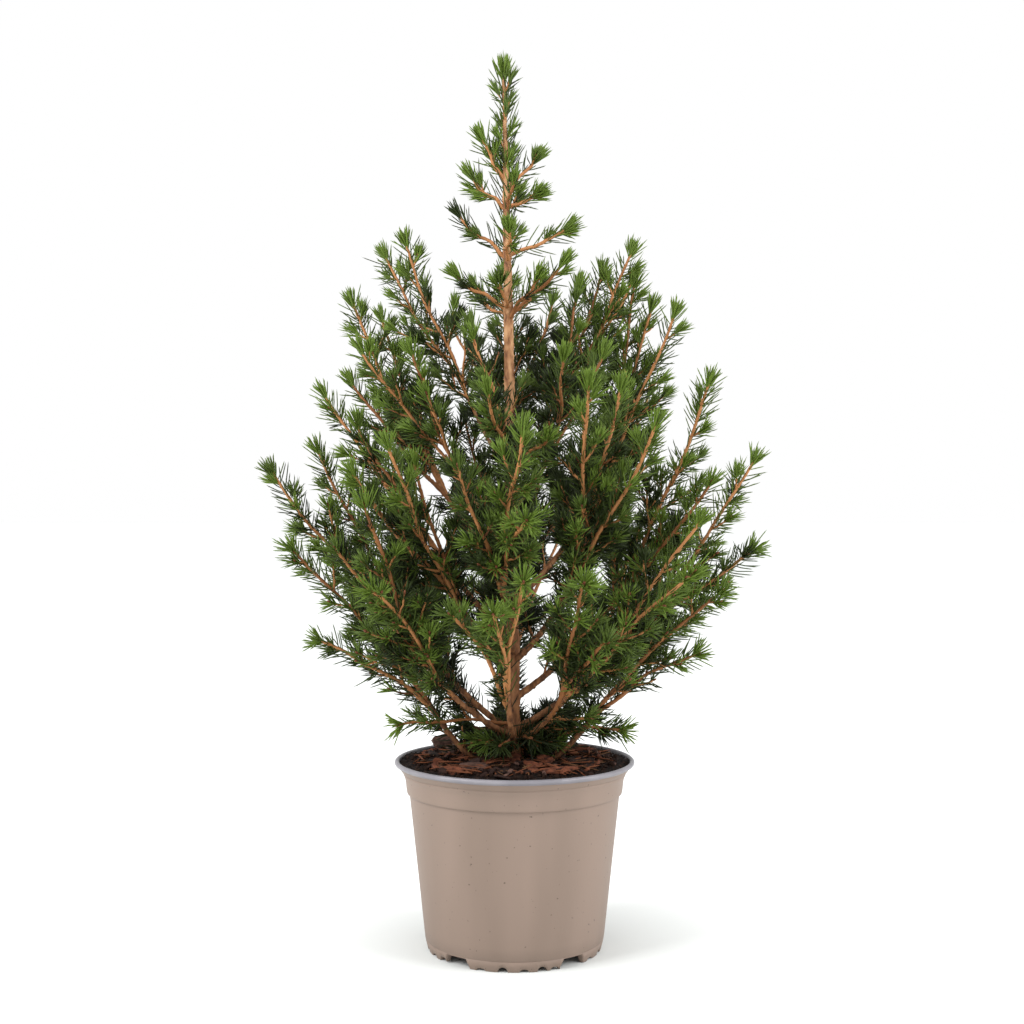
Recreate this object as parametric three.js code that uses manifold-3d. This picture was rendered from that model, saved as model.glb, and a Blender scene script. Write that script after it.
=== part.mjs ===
// A young dwarf Alberta spruce in a round nursery pot, standing on a level surface.
// Millimetres, +Z up. The origin is at the middle of the pot's flat foot. Compass bearings are in
// degrees, anticlockwise seen from above: 0 is +X (right), 90 is +Y (rear), 270 is -Y (front).
import * as THREE from "three";
import { mergeVertices } from "three/addons/utils/BufferGeometryUtils.js";
import Module from "manifold-3d";

const wasm = await Module();
wasm.setup();

// ---- Driving dimensions ---------------------------------------------------------------------

const GAP = 0.3; // clearance kept between touching pieces
const SMOOTHING = 0.02; // slivers thinner than this are taken out of a fitted piece
const UP = new THREE.Vector3(0, 0, 1);

const POT = {
  height: 101.6,
  rimRadius: 65, // outside of the rolled rim
  rollRadius: 1.3, // the roll's own section
  flareRadius: 62.6, // where the flare meets the roll
  grooveHeight: 95.2, // a shallow groove round the flare
  grooveRadius: 60.9,
  grooveDepth: 0.5,
  grooveHalfWidth: 0.8,
  flareFoot: 91.6, // the flare grows out of the band here
  collarRadius: 59.3, // band under the flare
  collarFoot: 83.6, // height where the band steps in
  collarFootRadius: 58.4,
  step: 1.4, // height of the step under the band
  bodyTopRadius: 56.9,
  bodyFootRadius: 48.4,
  footHeight: 5.6, // height of the foot ring
  footRadius: 47,
  footWidth: 2.6,
  wall: 1.3,
  floorHeight: 9,
  floorThickness: 1.8,
  segments: 28,
};
const NOTCH = {
  count: 5,
  first: 309.5, // bearing of the one to the right of the front
  spacing: 70.25,
  topHalfWidth: 6.2,
  footHalfWidth: 8.2,
  height: 4.8,
  depth: 12,
};
const SOIL = {
  edgeHeight: 98,
  middleHeight: 101,
  mound: 1.6, // above 1, the mound is level round the trunk and falls away near the edge
  bump: 1.3,
  padRadius: 11, // flat round the trunk's foot
  padBlend: 8,
  sideDrop: 6, // below the edge, the soil's side follows the pot's wall
  rings: [0.75, 0.5],
  segments: 24,
};

const TRUNK = {
  foot: 101.3, // where it stands on the soil's level middle
  top: 463,
  leanX: -5.6, // sideways drift of the tip
  flareRadius: 6.3,
  flareShare: 0.02, // how quickly the root flare dies away, as a share of the trunk
  baseRadius: 3.8,
  tipRadius: 0.9,
  slimming: 3.9, // the trunk keeps its thickness low down and tapers mostly in its upper third
  sides: 8,
};
const BOUGH = { sides: 5, steps: 3, tipShare: 0.68, sag: 0.12, shootsFrom: 0.93 };
const SHOOT = { sides: 5, needles: 12, bushy: 1.3, lessBushy: 0.12, rough: 0.16 };
// Shoots with high tips turn up at the end. Those with low tips flatten out.
const LIFT = { low: -0.3, high: 0.2, from: 165, range: 100 };
const SPRIG_WIDTH = 0.8 * SHOOT.needles;
const SEEDS = { whorl: 40, collar: 70, leader: 80, sprig: 90 };


// A limb is one bough and the foliage it carries. bough: [bearing, height where it leaves the
// trunk's axis (in the soil for the lowest), reach of its end, height of its end]. thickness is
// the bough's diameter at the trunk.
// shoots: [bearing, reach, height] of the tip of each main shoot, all growing from the bough's end.
const LIMBS = [
  { name: "low_left", bough: [181, 80, 46, 131], thickness: 4.8,
    shoots: [[189, 125, 222], [186, 113, 169]] },
  { name: "left", bough: [171, 115, 50, 161], thickness: 4.2,
    shoots: [[181, 136, 264], [169, 115, 277]] },
  { name: "low_front_left", bough: [216, 113, 50, 148], thickness: 4,
    shoots: [[230, 116, 200], [226, 110, 246], [212, 112, 223]] },
  { name: "front", bough: [266, 107, 52, 143], thickness: 4.2,
    shoots: [[265, 124, 190], [272, 132, 206], [249, 98, 189], [258, 84, 166]] },
  { name: "low_front_right", bough: [303, 110, 48, 140], thickness: 4,
    shoots: [[286, 121, 205], [297, 106, 174], [318, 124, 211], [328, 115, 237]] },
  { name: "low_right", bough: [345, 84, 46, 130], thickness: 4.8,
    shoots: [[343, 119, 199], [352, 106, 162]] },
  { name: "right", bough: [356, 117, 54, 160], thickness: 4.2,
    shoots: [[354, 135, 220], [0, 134, 270]] },
  { name: "low_rear_right", bough: [44, 108, 52, 142], thickness: 4.2,
    shoots: [[38, 122, 194], [50, 126, 236], [25, 112, 172]] },
  { name: "low_rear", bough: [93, 110, 50, 141], thickness: 4,
    shoots: [[86, 128, 190], [98, 134, 226], [72, 122, 248]] },
  { name: "low_rear_left", bough: [137, 107, 52, 144], thickness: 4.2,
    shoots: [[140, 122, 198], [124, 128, 232], [152, 122, 226]] },
  { name: "middle_left", bough: [176, 166, 42, 214], thickness: 3.8,
    shoots: [[169, 112, 308], [181, 89, 290]] },
  { name: "middle_rear_left", bough: [153, 200, 46, 250], thickness: 3.6,
    shoots: [[157, 104, 363], [143, 100, 356], [160, 103, 316], [128, 108, 300]] },
  { name: "middle_front_left", bough: [227, 150, 45, 190], thickness: 3.8,
    shoots: [[229, 99, 275], [210, 100, 262], [223, 73, 268]] },
  { name: "middle_front", bough: [262, 158, 46, 200], thickness: 3.8,
    shoots: [[272, 114, 280], [273, 124, 232], [253, 99, 264]] },
  { name: "middle_front_right", bough: [307, 154, 46, 195], thickness: 3.8,
    shoots: [[312, 107, 285], [296, 84, 306], [315, 78, 306]] },
  { name: "middle_right", bough: [11, 134, 54, 184], thickness: 4,
    shoots: [[2, 109, 314], [347, 110, 257]] },
  { name: "middle_rear_right", bough: [30, 186, 46, 234], thickness: 3.6,
    shoots: [[8, 92, 352], [21, 85, 358], [40, 108, 312], [27, 78, 373]] },
  { name: "middle_rear", bough: [86, 160, 48, 206], thickness: 3.8,
    shoots: [[78, 114, 290], [98, 110, 312], [112, 118, 276], [58, 116, 278], [119, 63, 298]] },
  { name: "upper_front_left", bough: [192, 218, 30, 254], thickness: 3,
    shoots: [[187, 87, 329], [204, 62, 327], [212, 57, 304]] },
  { name: "upper_front", bough: [268, 224, 28, 260], thickness: 3,
    shoots: [[258, 71, 302], [235, 43, 340], [281, 94, 275]] },
  { name: "upper_left", bough: [160, 256, 24, 292], thickness: 3,
    shoots: [[163, 66, 393], [150, 89, 389]] },
  { name: "upper_right", bough: [25, 252, 25, 290], thickness: 3,
    shoots: [[15, 38, 367], [41, 69, 381], [30, 80, 391]] },
  { name: "upper_front_right", bough: [330, 236, 24, 268], thickness: 2.8,
    shoots: [[338, 54, 326], [300, 52, 322]] },
  { name: "upper_rear", bough: [92, 244, 26, 284], thickness: 3,
    shoots: [[95, 66, 384], [70, 70, 366], [118, 82, 352]] },
];

// Small low sprigs that leave the trunk by themselves: [bearing, reach, height] of foot and tip.
const SPRIGS = [
  { name: "sprig_left", foot: [196, 6, 121], tip: [200, 73, 121] },
  { name: "sprig_right", foot: [340, 7, 112], tip: [344, 68, 118] },
  { name: "sprig_front_right", foot: [318, 7, 114], tip: [322, 57, 128] },
];

// Whorls of short shoots on the leader: height at which they leave it, and their tips.
const WHORLS = [
  { name: "whorl_low", height: 344, width: 9,
    shoots: [[195, 38, 368], [327, 36, 374], [255, 33, 362], [128, 38, 360], [60, 36, 370],
      [300, 30, 366]] },
  { name: "whorl_middle", height: 374, width: 8.5,
    shoots: [[180, 35, 403], [0, 35, 395], [265, 30, 390], [92, 31, 400]] },
  { name: "whorl_high", height: 402, width: 8,
    shoots: [[180, 28, 424], [345, 19, 412], [272, 22, 418], [80, 24, 420]] },
];
const COLLAR = { below: 8, above: 16 }; // how far a whorl's needles reach along the leader
const LEADER = {
  foot: 416, tip: 484, width: 10,
  shoots: [[194, 21, 445], [0, 16, 434], [100, 18, 440]],
};

// ---- Seeded unevenness ----------------------------------------------------------------------

// A smooth number between -1 and 1 for an angle round a piece and a place along it.
function unevenness(seed, angle, along) {
  const ripple = Math.sin(2 * angle + 1.7 * seed) * Math.cos(9 * along + 2.3 * seed);
  const lump = Math.sin(angle - 0.9 * seed + 5 * along);
  return 0.6 * ripple + 0.4 * lump;
}

// ---- Placing and solids ---------------------------------------------------------------------

// The trunk's centre at a height: a slight, gently curved lean.
function trunkCentre(height) {
  const along = Math.max(0, height - TRUNK.foot) / (TRUNK.top - TRUNK.foot);
  return new THREE.Vector3(TRUNK.leanX * along ** 1.2, 0, height);
}

// A point at a bearing, reach and height about the pot's axis.
function polar([bearing, reach, height]) {
  const turn = THREE.MathUtils.degToRad(bearing);
  return new THREE.Vector3(reach * Math.cos(turn), reach * Math.sin(turn), height);
}

function solidFromGeometry(geometry) {
  const bare = geometry.clone();
  bare.deleteAttribute("normal");
  bare.deleteAttribute("uv");
  const merged = mergeVertices(bare, 1e-3);
  return new wasm.Manifold(
    new wasm.Mesh({
      numProp: 3,
      vertProperties: merged.attributes.position.array,
      triVerts: new Uint32Array(merged.index.array),
    }),
  );
}

function geometryFromSolid(solid) {
  const mesh = solid.getMesh();
  const shared = new THREE.BufferGeometry();
  shared.setAttribute("position", new THREE.BufferAttribute(mesh.vertProperties, 3));
  shared.setIndex(new THREE.BufferAttribute(mesh.triVerts, 1));
  const flat = shared.toNonIndexed();
  flat.computeVertexNormals();
  return flat;
}

// A turned profile of [radius, share along], bent to follow a curve. side is a direction that the
// curve never runs along. swell(angle, along) scales the radius.
function bentLathe(curve, profile, sides, side, swell) {
  const outline = profile.map(([radius, along]) => new THREE.Vector2(radius, along));
  const geometry = new THREE.LatheGeometry(outline, sides);
  const place = geometry.attributes.position;
  for (let i = 0; i < place.count; i += 1) {
    const along = THREE.MathUtils.clamp(place.getY(i), 0, 1);
    const angle = Math.atan2(place.getZ(i), place.getX(i));
    const radius = Math.hypot(place.getX(i), place.getZ(i)) * swell(angle, along);
    const tangent = curve.getTangent(along);
    const across = new THREE.Vector3().crossVectors(side, tangent).normalize();
    const other = new THREE.Vector3().crossVectors(tangent, across);
    const point = curve.getPoint(along);
    point.addScaledVector(across, radius * Math.sin(angle));
    point.addScaledVector(other, radius * Math.cos(angle));
    place.setXYZ(i, point.x, point.y, point.z);
  }
  return geometry;
}

function solidFacingOut(geometry) {
  const solid = solidFromGeometry(geometry);
  if (solid.volume() > 0) return solid;
  const index = geometry.index.array;
  for (let i = 0; i < index.length; i += 3) {
    [index[i + 1], index[i + 2]] = [index[i + 2], index[i + 1]];
  }
  return solidFromGeometry(geometry);
}

function horizontalAcross(direction) {
  const across = new THREE.Vector3().crossVectors(UP, direction);
  return across.lengthSq() > 1e-6 ? across.normalize() : new THREE.Vector3(1, 0, 0);
}

// ---- Trunk, boughs and shoots ---------------------------------------------------------------

class TrunkLine extends THREE.Curve {
  getPoint(share) {
    return trunkCentre(THREE.MathUtils.lerp(TRUNK.foot, TRUNK.top, share));
  }
}

// The trunk's radius: a root flare at the foot, then a taper that quickens towards the tip.
function trunkRadius(share) {
  const taper = THREE.MathUtils.lerp(TRUNK.baseRadius, TRUNK.tipRadius, share ** TRUNK.slimming);
  return taper + (TRUNK.flareRadius - TRUNK.baseRadius) * Math.exp(-share / TRUNK.flareShare);
}

function trunkSolid(grow) {
  const steps = [0, 0.02, 0.06, 0.14, 0.24, 0.34, 0.44, 0.54, 0.64, 0.74, 0.84, 0.92, 1];
  const profile = [[0, 0], ...steps.map((share) => [trunkRadius(share) + grow, share]), [0, 1]];
  const swell = (angle, along) => 1 + 0.05 * Math.sin(3 * angle + 12 * along) * (1 - along);
  const side = new THREE.Vector3(0, 1, 0);
  return solidFacingOut(bentLathe(new TrunkLine(), profile, TRUNK.sides, side, swell));
}

// A bough leaves the trunk almost level and turns up towards its end.
function boughCurve([bearing, foot, reach, height]) {
  const start = trunkCentre(foot);
  const end = polar([bearing, reach, height]);
  const middle = start.clone().lerp(end, 0.5);
  middle.z -= BOUGH.sag * start.distanceTo(end);
  return new THREE.QuadraticBezierCurve3(start, middle, end);
}

function boughSolid(limb, grow) {
  const curve = boughCurve(limb.bough);
  const profile = [[0, 0]];
  for (let i = 0; i <= BOUGH.steps; i += 1) {
    const share = i / BOUGH.steps;
    const taper = THREE.MathUtils.lerp(1, BOUGH.tipShare, share);
    profile.push([(limb.thickness / 2) * taper + grow, share]);
  }
  profile.push([0, 1]);
  const side = horizontalAcross(curve.getTangent(0.5));
  return solidFacingOut(bentLathe(curve, profile, BOUGH.sides, side, () => 1));
}

function shootLift(height) {
  const share = THREE.MathUtils.clamp((height - LIFT.from) / LIFT.range, 0, 1);
  return THREE.MathUtils.lerp(LIFT.low, LIFT.high, share);
}

// A shoot goes on in the direction it starts with and turns up or flattens towards its tip.
function shootCurve(start, direction, tip) {
  const third = start.distanceTo(tip) / 3;
  const chord = tip.clone().sub(start).normalize();
  const rising = chord.clone().lerp(UP, shootLift(tip.z)).normalize();
  const leaving = direction.clone().lerp(chord, 0.5).normalize();
  return new THREE.CubicBezierCurve3(
    start,
    start.clone().addScaledVector(leaving, third),
    tip.clone().addScaledVector(rising, -third),
    tip,
  );
}

// The foliage round one shoot: slender where it starts, bushy with side shoots in its inner
// half, one needle's length round the stem further out, and closing to a point at the tip.
function plumeSolid(curve, width, bushy, seed, grow) {
  return leafySolid(curve, [[bushy, 0.34], [1, 0.76], [0.6, 0.95]], width, seed, grow);
}

// A short shoot has no side shoots of its own: an even sleeve of needles.
function tuftSolid(curve, width, seed, grow) {
  return leafySolid(curve, [[1, 0.45], [0.75, 0.9]], width, seed, grow);
}

// An uneven solid round a shoot. shape holds [share of the width, place along the shoot].
function leafySolid(curve, shape, width, seed, grow) {
  const profile = [[0, 0], ...shape.map(([share, along]) => [share * width + grow, along]), [0, 1]];
  const swell = (angle, along) => 1 + SHOOT.rough * unevenness(seed, angle, along);
  const side = horizontalAcross(curve.getTangent(0.5));
  return solidFacingOut(bentLathe(curve, profile, SHOOT.sides, side, swell));
}

// All the foliage of a limb as one solid: its plumes meet round the bough's end.
function limbFoliage(limb, limbIndex, grow) {
  const bough = boughCurve(limb.bough);
  const start = bough.getPoint(BOUGH.shootsFrom);
  const direction = bough.getTangent(1);
  const plumes = limb.shoots.map((shoot, i) => {
    const curve = shootCurve(start, direction, polar(shoot));
    const bushy = SHOOT.bushy - SHOOT.lessBushy * i;
    return plumeSolid(curve, SHOOT.needles, bushy, 3 * limbIndex + i, grow);
  });
  return wasm.Manifold.union(plumes);
}

function sprigFoliage(sprig, index, grow) {
  const start = polar(sprig.foot);
  const tip = polar(sprig.tip);
  const curve = shootCurve(start, tip.clone().sub(start).normalize(), tip);
  return tuftSolid(curve, SPRIG_WIDTH, SEEDS.sprig + index, grow);
}

// The short shoots of one whorl, joined by a collar of needles round the leader.
function whorlFoliage(whorl, index, grow) {
  const start = trunkCentre(whorl.height);
  const plumes = whorl.shoots.map((shoot, i) => {
    const tip = polar(shoot);
    const curve = shootCurve(start, tip.clone().sub(start).normalize(), tip);
    return tuftSolid(curve, whorl.width, SEEDS.whorl + 5 * index + i, grow);
  });
  plumes.push(needleCollar(whorl.height, whorl.width + 1, SEEDS.collar + index, grow));
  return wasm.Manifold.union(plumes);
}

// The needles on the leader itself where a whorl of shoots leaves it.
function needleCollar(height, width, seed, grow) {
  const foot = trunkCentre(height - COLLAR.below);
  const curve = new THREE.LineCurve3(foot, trunkCentre(height + COLLAR.above));
  return tuftSolid(curve, width, seed, grow);
}

// The leader's own tuft with the last side shoots.
function leaderFoliage(grow) {
  const start = trunkCentre(LEADER.foot);
  const spire = new THREE.LineCurve3(start, trunkCentre(TRUNK.top).setZ(LEADER.tip));
  const plumes = LEADER.shoots.map((shoot, i) => {
    const tip = polar(shoot);
    const curve = shootCurve(start, tip.clone().sub(start).normalize(), tip);
    return tuftSolid(curve, 0.75 * LEADER.width, SEEDS.leader + i, grow);
  });
  plumes.push(needleCollar(LEADER.foot, LEADER.width, SEEDS.leader + 4, grow));
  plumes.push(plumeSolid(spire, LEADER.width, 1, SEEDS.leader + 5, grow));
  return wasm.Manifold.union(plumes);
}

// ---- Pot and soil ---------------------------------------------------------------------------

// The rolled rim's section, from the body outside over the top to the wall inside.
function rimArc() {
  const centre = { radius: POT.rimRadius - POT.rollRadius, height: POT.height - POT.rollRadius };
  const points = [];
  for (let degrees = -80; degrees <= 190; degrees += 54) {
    const turn = THREE.MathUtils.degToRad(degrees);
    points.push([
      centre.radius + POT.rollRadius * Math.cos(turn),
      centre.height + POT.rollRadius * Math.sin(turn),
    ]);
  }
  return points;
}

function potSolid() {
  const inner = (radius) => radius - POT.wall;
  const rimFoot = POT.height - 2 * POT.rollRadius;
  const floorFoot = POT.floorHeight - POT.floorThickness;
  const profile = [
    [0, floorFoot],
    [POT.footRadius - POT.footWidth, floorFoot],
    [POT.footRadius - POT.footWidth, 0],
    [POT.footRadius, 0],
    [POT.bodyFootRadius, POT.footHeight],
    [POT.bodyTopRadius, POT.collarFoot - POT.step],
    [POT.collarFootRadius, POT.collarFoot],
    [POT.collarRadius, POT.flareFoot],
    [POT.grooveRadius - POT.grooveDepth, POT.grooveHeight - POT.grooveHalfWidth],
    [POT.grooveRadius - POT.grooveDepth, POT.grooveHeight],
    [POT.grooveRadius, POT.grooveHeight + POT.grooveHalfWidth],
    [POT.flareRadius, rimFoot],
    ...rimArc(),
    [inner(POT.grooveRadius), POT.grooveHeight],
    [inner(POT.collarRadius), POT.flareFoot],
    [inner(POT.collarFootRadius), POT.collarFoot],
    [inner(POT.bodyTopRadius), POT.collarFoot - 2 * POT.step],
    [inner(POT.bodyFootRadius), POT.floorHeight],
    [0, POT.floorHeight],
  ];
  const outline = profile.map(([radius, height]) => new THREE.Vector2(radius, height));
  const turned = new THREE.LatheGeometry(outline, POT.segments).rotateX(Math.PI / 2);
  return cutFootNotches(solidFacingOut(turned));
}

// Drainage notches, wider at the foot, cut through the foot ring.
function cutFootNotches(pot) {
  const outline = new THREE.Shape([
    new THREE.Vector2(-NOTCH.footHalfWidth, -1),
    new THREE.Vector2(NOTCH.footHalfWidth, -1),
    new THREE.Vector2(NOTCH.topHalfWidth, NOTCH.height),
    new THREE.Vector2(-NOTCH.topHalfWidth, NOTCH.height),
  ]);
  const cutter = new THREE.ExtrudeGeometry(outline, { depth: NOTCH.depth, bevelEnabled: false });
  cutter.rotateX(Math.PI / 2).translate(0, -(POT.footRadius - NOTCH.depth / 2), 0);
  let cut = pot;
  for (let i = 0; i < NOTCH.count; i += 1) {
    const bearing = NOTCH.first + NOTCH.spacing * i;
    const turned = cutter.clone().rotateZ(THREE.MathUtils.degToRad(bearing + 90));
    cut = cut.subtract(solidFacingOut(turned));
  }
  return cut;
}

function soilHeight(x, y) {
  const reach = Math.hypot(x, y);
  const mound = Math.cos((Math.PI / 2) * Math.min(1, reach / POT.bodyTopRadius));
  const bumps = Math.sin(0.31 * x + 1.1) * Math.cos(0.27 * y - 0.6) + Math.sin(0.17 * (x - y));
  const flat = Math.min(1, Math.max(0, reach - SOIL.padRadius) / SOIL.padBlend);
  const rise = Math.min(1, SOIL.mound * mound);
  const height = THREE.MathUtils.lerp(SOIL.edgeHeight, SOIL.middleHeight, rise);
  return height + (SOIL.bump * bumps * flat) / 2;
}

// The soil fills the pot. grow raises its surface.
function soilSolid(grow) {
  const foot = POT.floorHeight + GAP;
  const topRadius = POT.bodyTopRadius - POT.wall - 2 * GAP;
  const footRadius = POT.bodyFootRadius - POT.wall - 2 * GAP;
  const rings = [...SOIL.rings, SOIL.padRadius / topRadius];
  const profile = [[0, foot], [footRadius, foot], [topRadius, SOIL.edgeHeight - SOIL.sideDrop]];
  profile.push([topRadius, SOIL.edgeHeight]);
  rings.forEach((share) => profile.push([share * topRadius, SOIL.edgeHeight]));
  profile.push([0, SOIL.edgeHeight]);
  const outline = profile.map(([radius, height]) => new THREE.Vector2(radius, height));
  const turned = new THREE.LatheGeometry(outline, SOIL.segments).rotateX(Math.PI / 2);
  const place = turned.attributes.position;
  for (let i = 0; i < place.count; i += 1) {
    if (place.getZ(i) > SOIL.edgeHeight - 1) {
      place.setZ(i, soilHeight(place.getX(i), place.getY(i)) + grow);
    }
  }
  return solidFacingOut(turned);
}

// ---- Materials ------------------------------------------------------------------------------

const material = {
  pot: new THREE.MeshStandardMaterial({ color: 0x9a8779, roughness: 0.6, metalness: 0 }),
  soil: new THREE.MeshStandardMaterial({ color: 0x4a2a1e, roughness: 0.95, metalness: 0 }),
  trunk: new THREE.MeshStandardMaterial({ color: 0x8a5a36, roughness: 0.85, metalness: 0 }),
  bough: new THREE.MeshStandardMaterial({ color: 0x9b6236, roughness: 0.85, metalness: 0 }),
  foliage: new THREE.MeshStandardMaterial({ color: 0x3d5f2c, roughness: 0.7, metalness: 0 }),
  freshFoliage: new THREE.MeshStandardMaterial({ color: 0x5f8538, roughness: 0.7, metalness: 0 }),
};

// ---- Assembly -------------------------------------------------------------------------------

const plant = new THREE.Group();
let occupied; // the soil and everything placed on it so far, grown by the gap

function addMesh(name, solid, itsMaterial) {
  const mesh = new THREE.Mesh(geometryFromSolid(solid), itsMaterial.clone());
  mesh.name = name;
  plant.add(mesh);
}

// Fits a piece round those already placed and keeps its largest part.
function addFitted(name, make, itsMaterial) {
  const free = make(0).subtract(occupied);
  const parts = free.decompose().sort((a, b) => b.volume() - a.volume());
  addMesh(name, parts[0].simplify(SMOOTHING), itsMaterial);
  occupied = occupied.add(make(GAP));
}

addMesh("pot", potSolid(), material.pot);
addMesh("soil", soilSolid(0), material.soil);
occupied = soilSolid(GAP);
addFitted("trunk", trunkSolid, material.trunk);
LIMBS.forEach((limb) => {
  addFitted(`bough_${limb.name}`, (grow) => boughSolid(limb, grow), material.bough);
});
addFitted("foliage_leader", leaderFoliage, material.freshFoliage);
WHORLS.forEach((whorl, i) => {
  addFitted(`foliage_${whorl.name}`, (grow) => whorlFoliage(whorl, i, grow), material.freshFoliage);
});
LIMBS.forEach((limb, i) => {
  addFitted(`foliage_${limb.name}`, (grow) => limbFoliage(limb, i, grow), material.foliage);
});
SPRIGS.forEach((sprig, i) => {
  addFitted(`foliage_${sprig.name}`, (grow) => sprigFoliage(sprig, i, grow), material.foliage);
});

export default plant;
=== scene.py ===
"""Looks of a young dwarf Alberta spruce in its nursery pot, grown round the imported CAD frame.

Metres, +Z up, the front towards -Y. Trunk, boughs and the tips of the shoots are read from the
frame's nodes. Side shoots, twigs and needles grow on from them by a seeded branching rule.
"""

import math

import bpy
import numpy as np
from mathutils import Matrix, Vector, noise


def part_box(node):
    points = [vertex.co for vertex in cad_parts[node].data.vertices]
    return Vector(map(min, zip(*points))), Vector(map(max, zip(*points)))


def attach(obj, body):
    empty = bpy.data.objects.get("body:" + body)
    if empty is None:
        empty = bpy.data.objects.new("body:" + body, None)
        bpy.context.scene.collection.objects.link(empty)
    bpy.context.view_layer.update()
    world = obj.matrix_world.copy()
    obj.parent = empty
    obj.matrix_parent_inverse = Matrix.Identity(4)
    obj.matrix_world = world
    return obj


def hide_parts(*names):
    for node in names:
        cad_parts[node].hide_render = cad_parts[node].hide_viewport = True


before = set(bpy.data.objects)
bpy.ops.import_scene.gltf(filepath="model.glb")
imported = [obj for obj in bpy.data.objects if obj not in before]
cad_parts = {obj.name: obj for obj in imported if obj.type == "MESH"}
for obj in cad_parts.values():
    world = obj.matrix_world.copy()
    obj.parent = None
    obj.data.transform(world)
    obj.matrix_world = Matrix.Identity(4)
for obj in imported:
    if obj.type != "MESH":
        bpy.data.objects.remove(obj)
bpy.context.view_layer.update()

MM = 0.001
UP = np.array([0.0, 0.0, 1.0])
EYE = np.array([-1.4, -773.5, 235.5]) * MM  # the camera, looking level along +Y
GOLDEN_TURN = math.radians(137.5)
UPRIGHT = 0.05  # a direction with a smaller level part than this counts as upright
SEED = 20
SEEDS = {  # added to the seed, so that each kind draws numbers of its own
    "limb": 0, "whorl": 50, "sprig": 70, "low": 80, "leader": 90, "needles": 500,
    "wood": 900, "buds": 950, "mulch": 1200, "splinters": 1300, "crumbs": 1400, "shed": 1500,
}
PIECE_TRIANGLES = 190000

# ---- Growth sizes ---------------------------------------------------------------------------

SHORTEST_SHOOT = 14 * MM  # nearer tips of a foliage node are not shoots of their own
TIP_SPACING = 10 * MM
TIP_TUFT = 8 * MM  # needles reach this far past the end of the wood
LIFT_LOW, LIFT_HIGH = -0.3, 0.2  # low shoots flatten towards their tips, high ones turn up
LIFT_FROM, LIFT_RANGE = 165 * MM, 100 * MM
FACING = {"nearer": -88 * MM, "below": 262 * MM, "lift": -0.55}  # these end flat, facing front
LINE_STEP = 2.5 * MM

FORK_STEP = 0.13  # the shoots of a bough fork off one behind the other
BOUGH_WAIST, BOUGH_END = 0.88, 0.70  # a bough's radius at each end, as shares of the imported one
SHOOT_FOOT_RADIUS = 1.3 * MM
SHOOT_TIP_RADIUS = 0.75 * MM
WHORL_FOOT_RADIUS = 1.15 * MM
SPRIG_FOOT_RADIUS = 0.95 * MM
LOW_FOOT_RADIUS = 0.9 * MM
SIDE_FOOT_RADIUS = 0.75 * MM
TWIG_TIP_RADIUS = 0.45 * MM
SHOOT_SWAY, TWIG_SWAY, SWAY_WAVES = 1.2 * MM, 0.4 * MM, 1.3

TRUNK_TIP_RADIUS = 0.95 * MM
TRUNK_WAIST = 0.78  # the wood under the bark's scales, as a share of the trunk's outline
FLARE_TOP = 25 * MM  # above the trunk's foot; the root flare has died away here
FLARE_DECAY = 7 * MM
BOUGH_POINTS = 24  # on a bough's middle line
BOUGH_SKIN = 40  # per cent of a bough's corners lie nearer its middle line than its radius

WHORL_FOOT = 8 * MM  # a whorl's shoots meet the trunk this far above its foliage's lowest point
WHORL_DROP = 5 * MM
WHORL_SCATTER = 3  # mm
WHORL_REACH = 11 * MM  # tips nearer the trunk than this are no shoots of the whorl
WHORL_TWIG, WHORL_TWIG_ANGLE = 5.5 * MM, math.radians(40)

LEADER_TIP_RADIUS = 0.9 * MM
LEADER_TUFT = 11 * MM  # the wood ends this far under the plant's top
LEADER_TWIGS = (62 * MM, 5 * MM, 5.2 * MM)  # from and to, before the leader's end, and spacing
BARE_TRUNK = 226 * MM  # the trunk's own needles start this far above its foot

LOW_SPRAYS = 22
LOW_SPRAY_FOOT, LOW_SPRAY_LENGTH = (4, 11), (24, 44)  # mm above the trunk's foot, and mm long
LOW_SPRAY_RISE = (0.05, 0.3)

NEEDLE_LENGTH = 10.0 * MM
NEEDLE_HALF_WIDTH = 0.37 * MM


def unit(vectors):
    return vectors / (np.linalg.norm(vectors, axis=-1, keepdims=True) + 1e-12)


def seeded(kind, number=0):
    """The random draws of one kind, or of one of its members."""
    return np.random.default_rng(SEED + SEEDS[kind] + number)


def steps_along(line):
    """The distance of each point of a line from its first."""
    steps = np.linalg.norm(np.diff(line, axis=0), axis=1)
    return np.concatenate([[0], np.cumsum(steps)])


def points_along(line, along, places):
    """The points at distances along a line."""
    return np.stack([np.interp(places, along, line[:, i]) for i in range(3)], -1)


# ---- Reading the frame ----------------------------------------------------------------------


def node_mesh(name):
    """A node's corners, each once, and the pairs of corners that share an edge."""
    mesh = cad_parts[name].data
    points = np.array([v.co for v in mesh.vertices])
    corners, index = np.unique(np.round(points, 5), axis=0, return_inverse=True)
    pairs = np.array([e.vertices[:] for e in mesh.edges])
    return corners, index.reshape(-1)[pairs]


trunk_corners, _ = node_mesh("trunk")
trunk_foot = trunk_corners[:, 2].min()
trunk_top = trunk_corners[:, 2].max()
trunk_lean = [np.polyfit(trunk_corners[:, 2], trunk_corners[:, i], 2) for i in (0, 1)]


def trunk_centre(height):
    height = np.asarray(height, float)
    level = [np.polyval(lean, height) for lean in trunk_lean]
    return np.stack([*level, height], -1)


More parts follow.
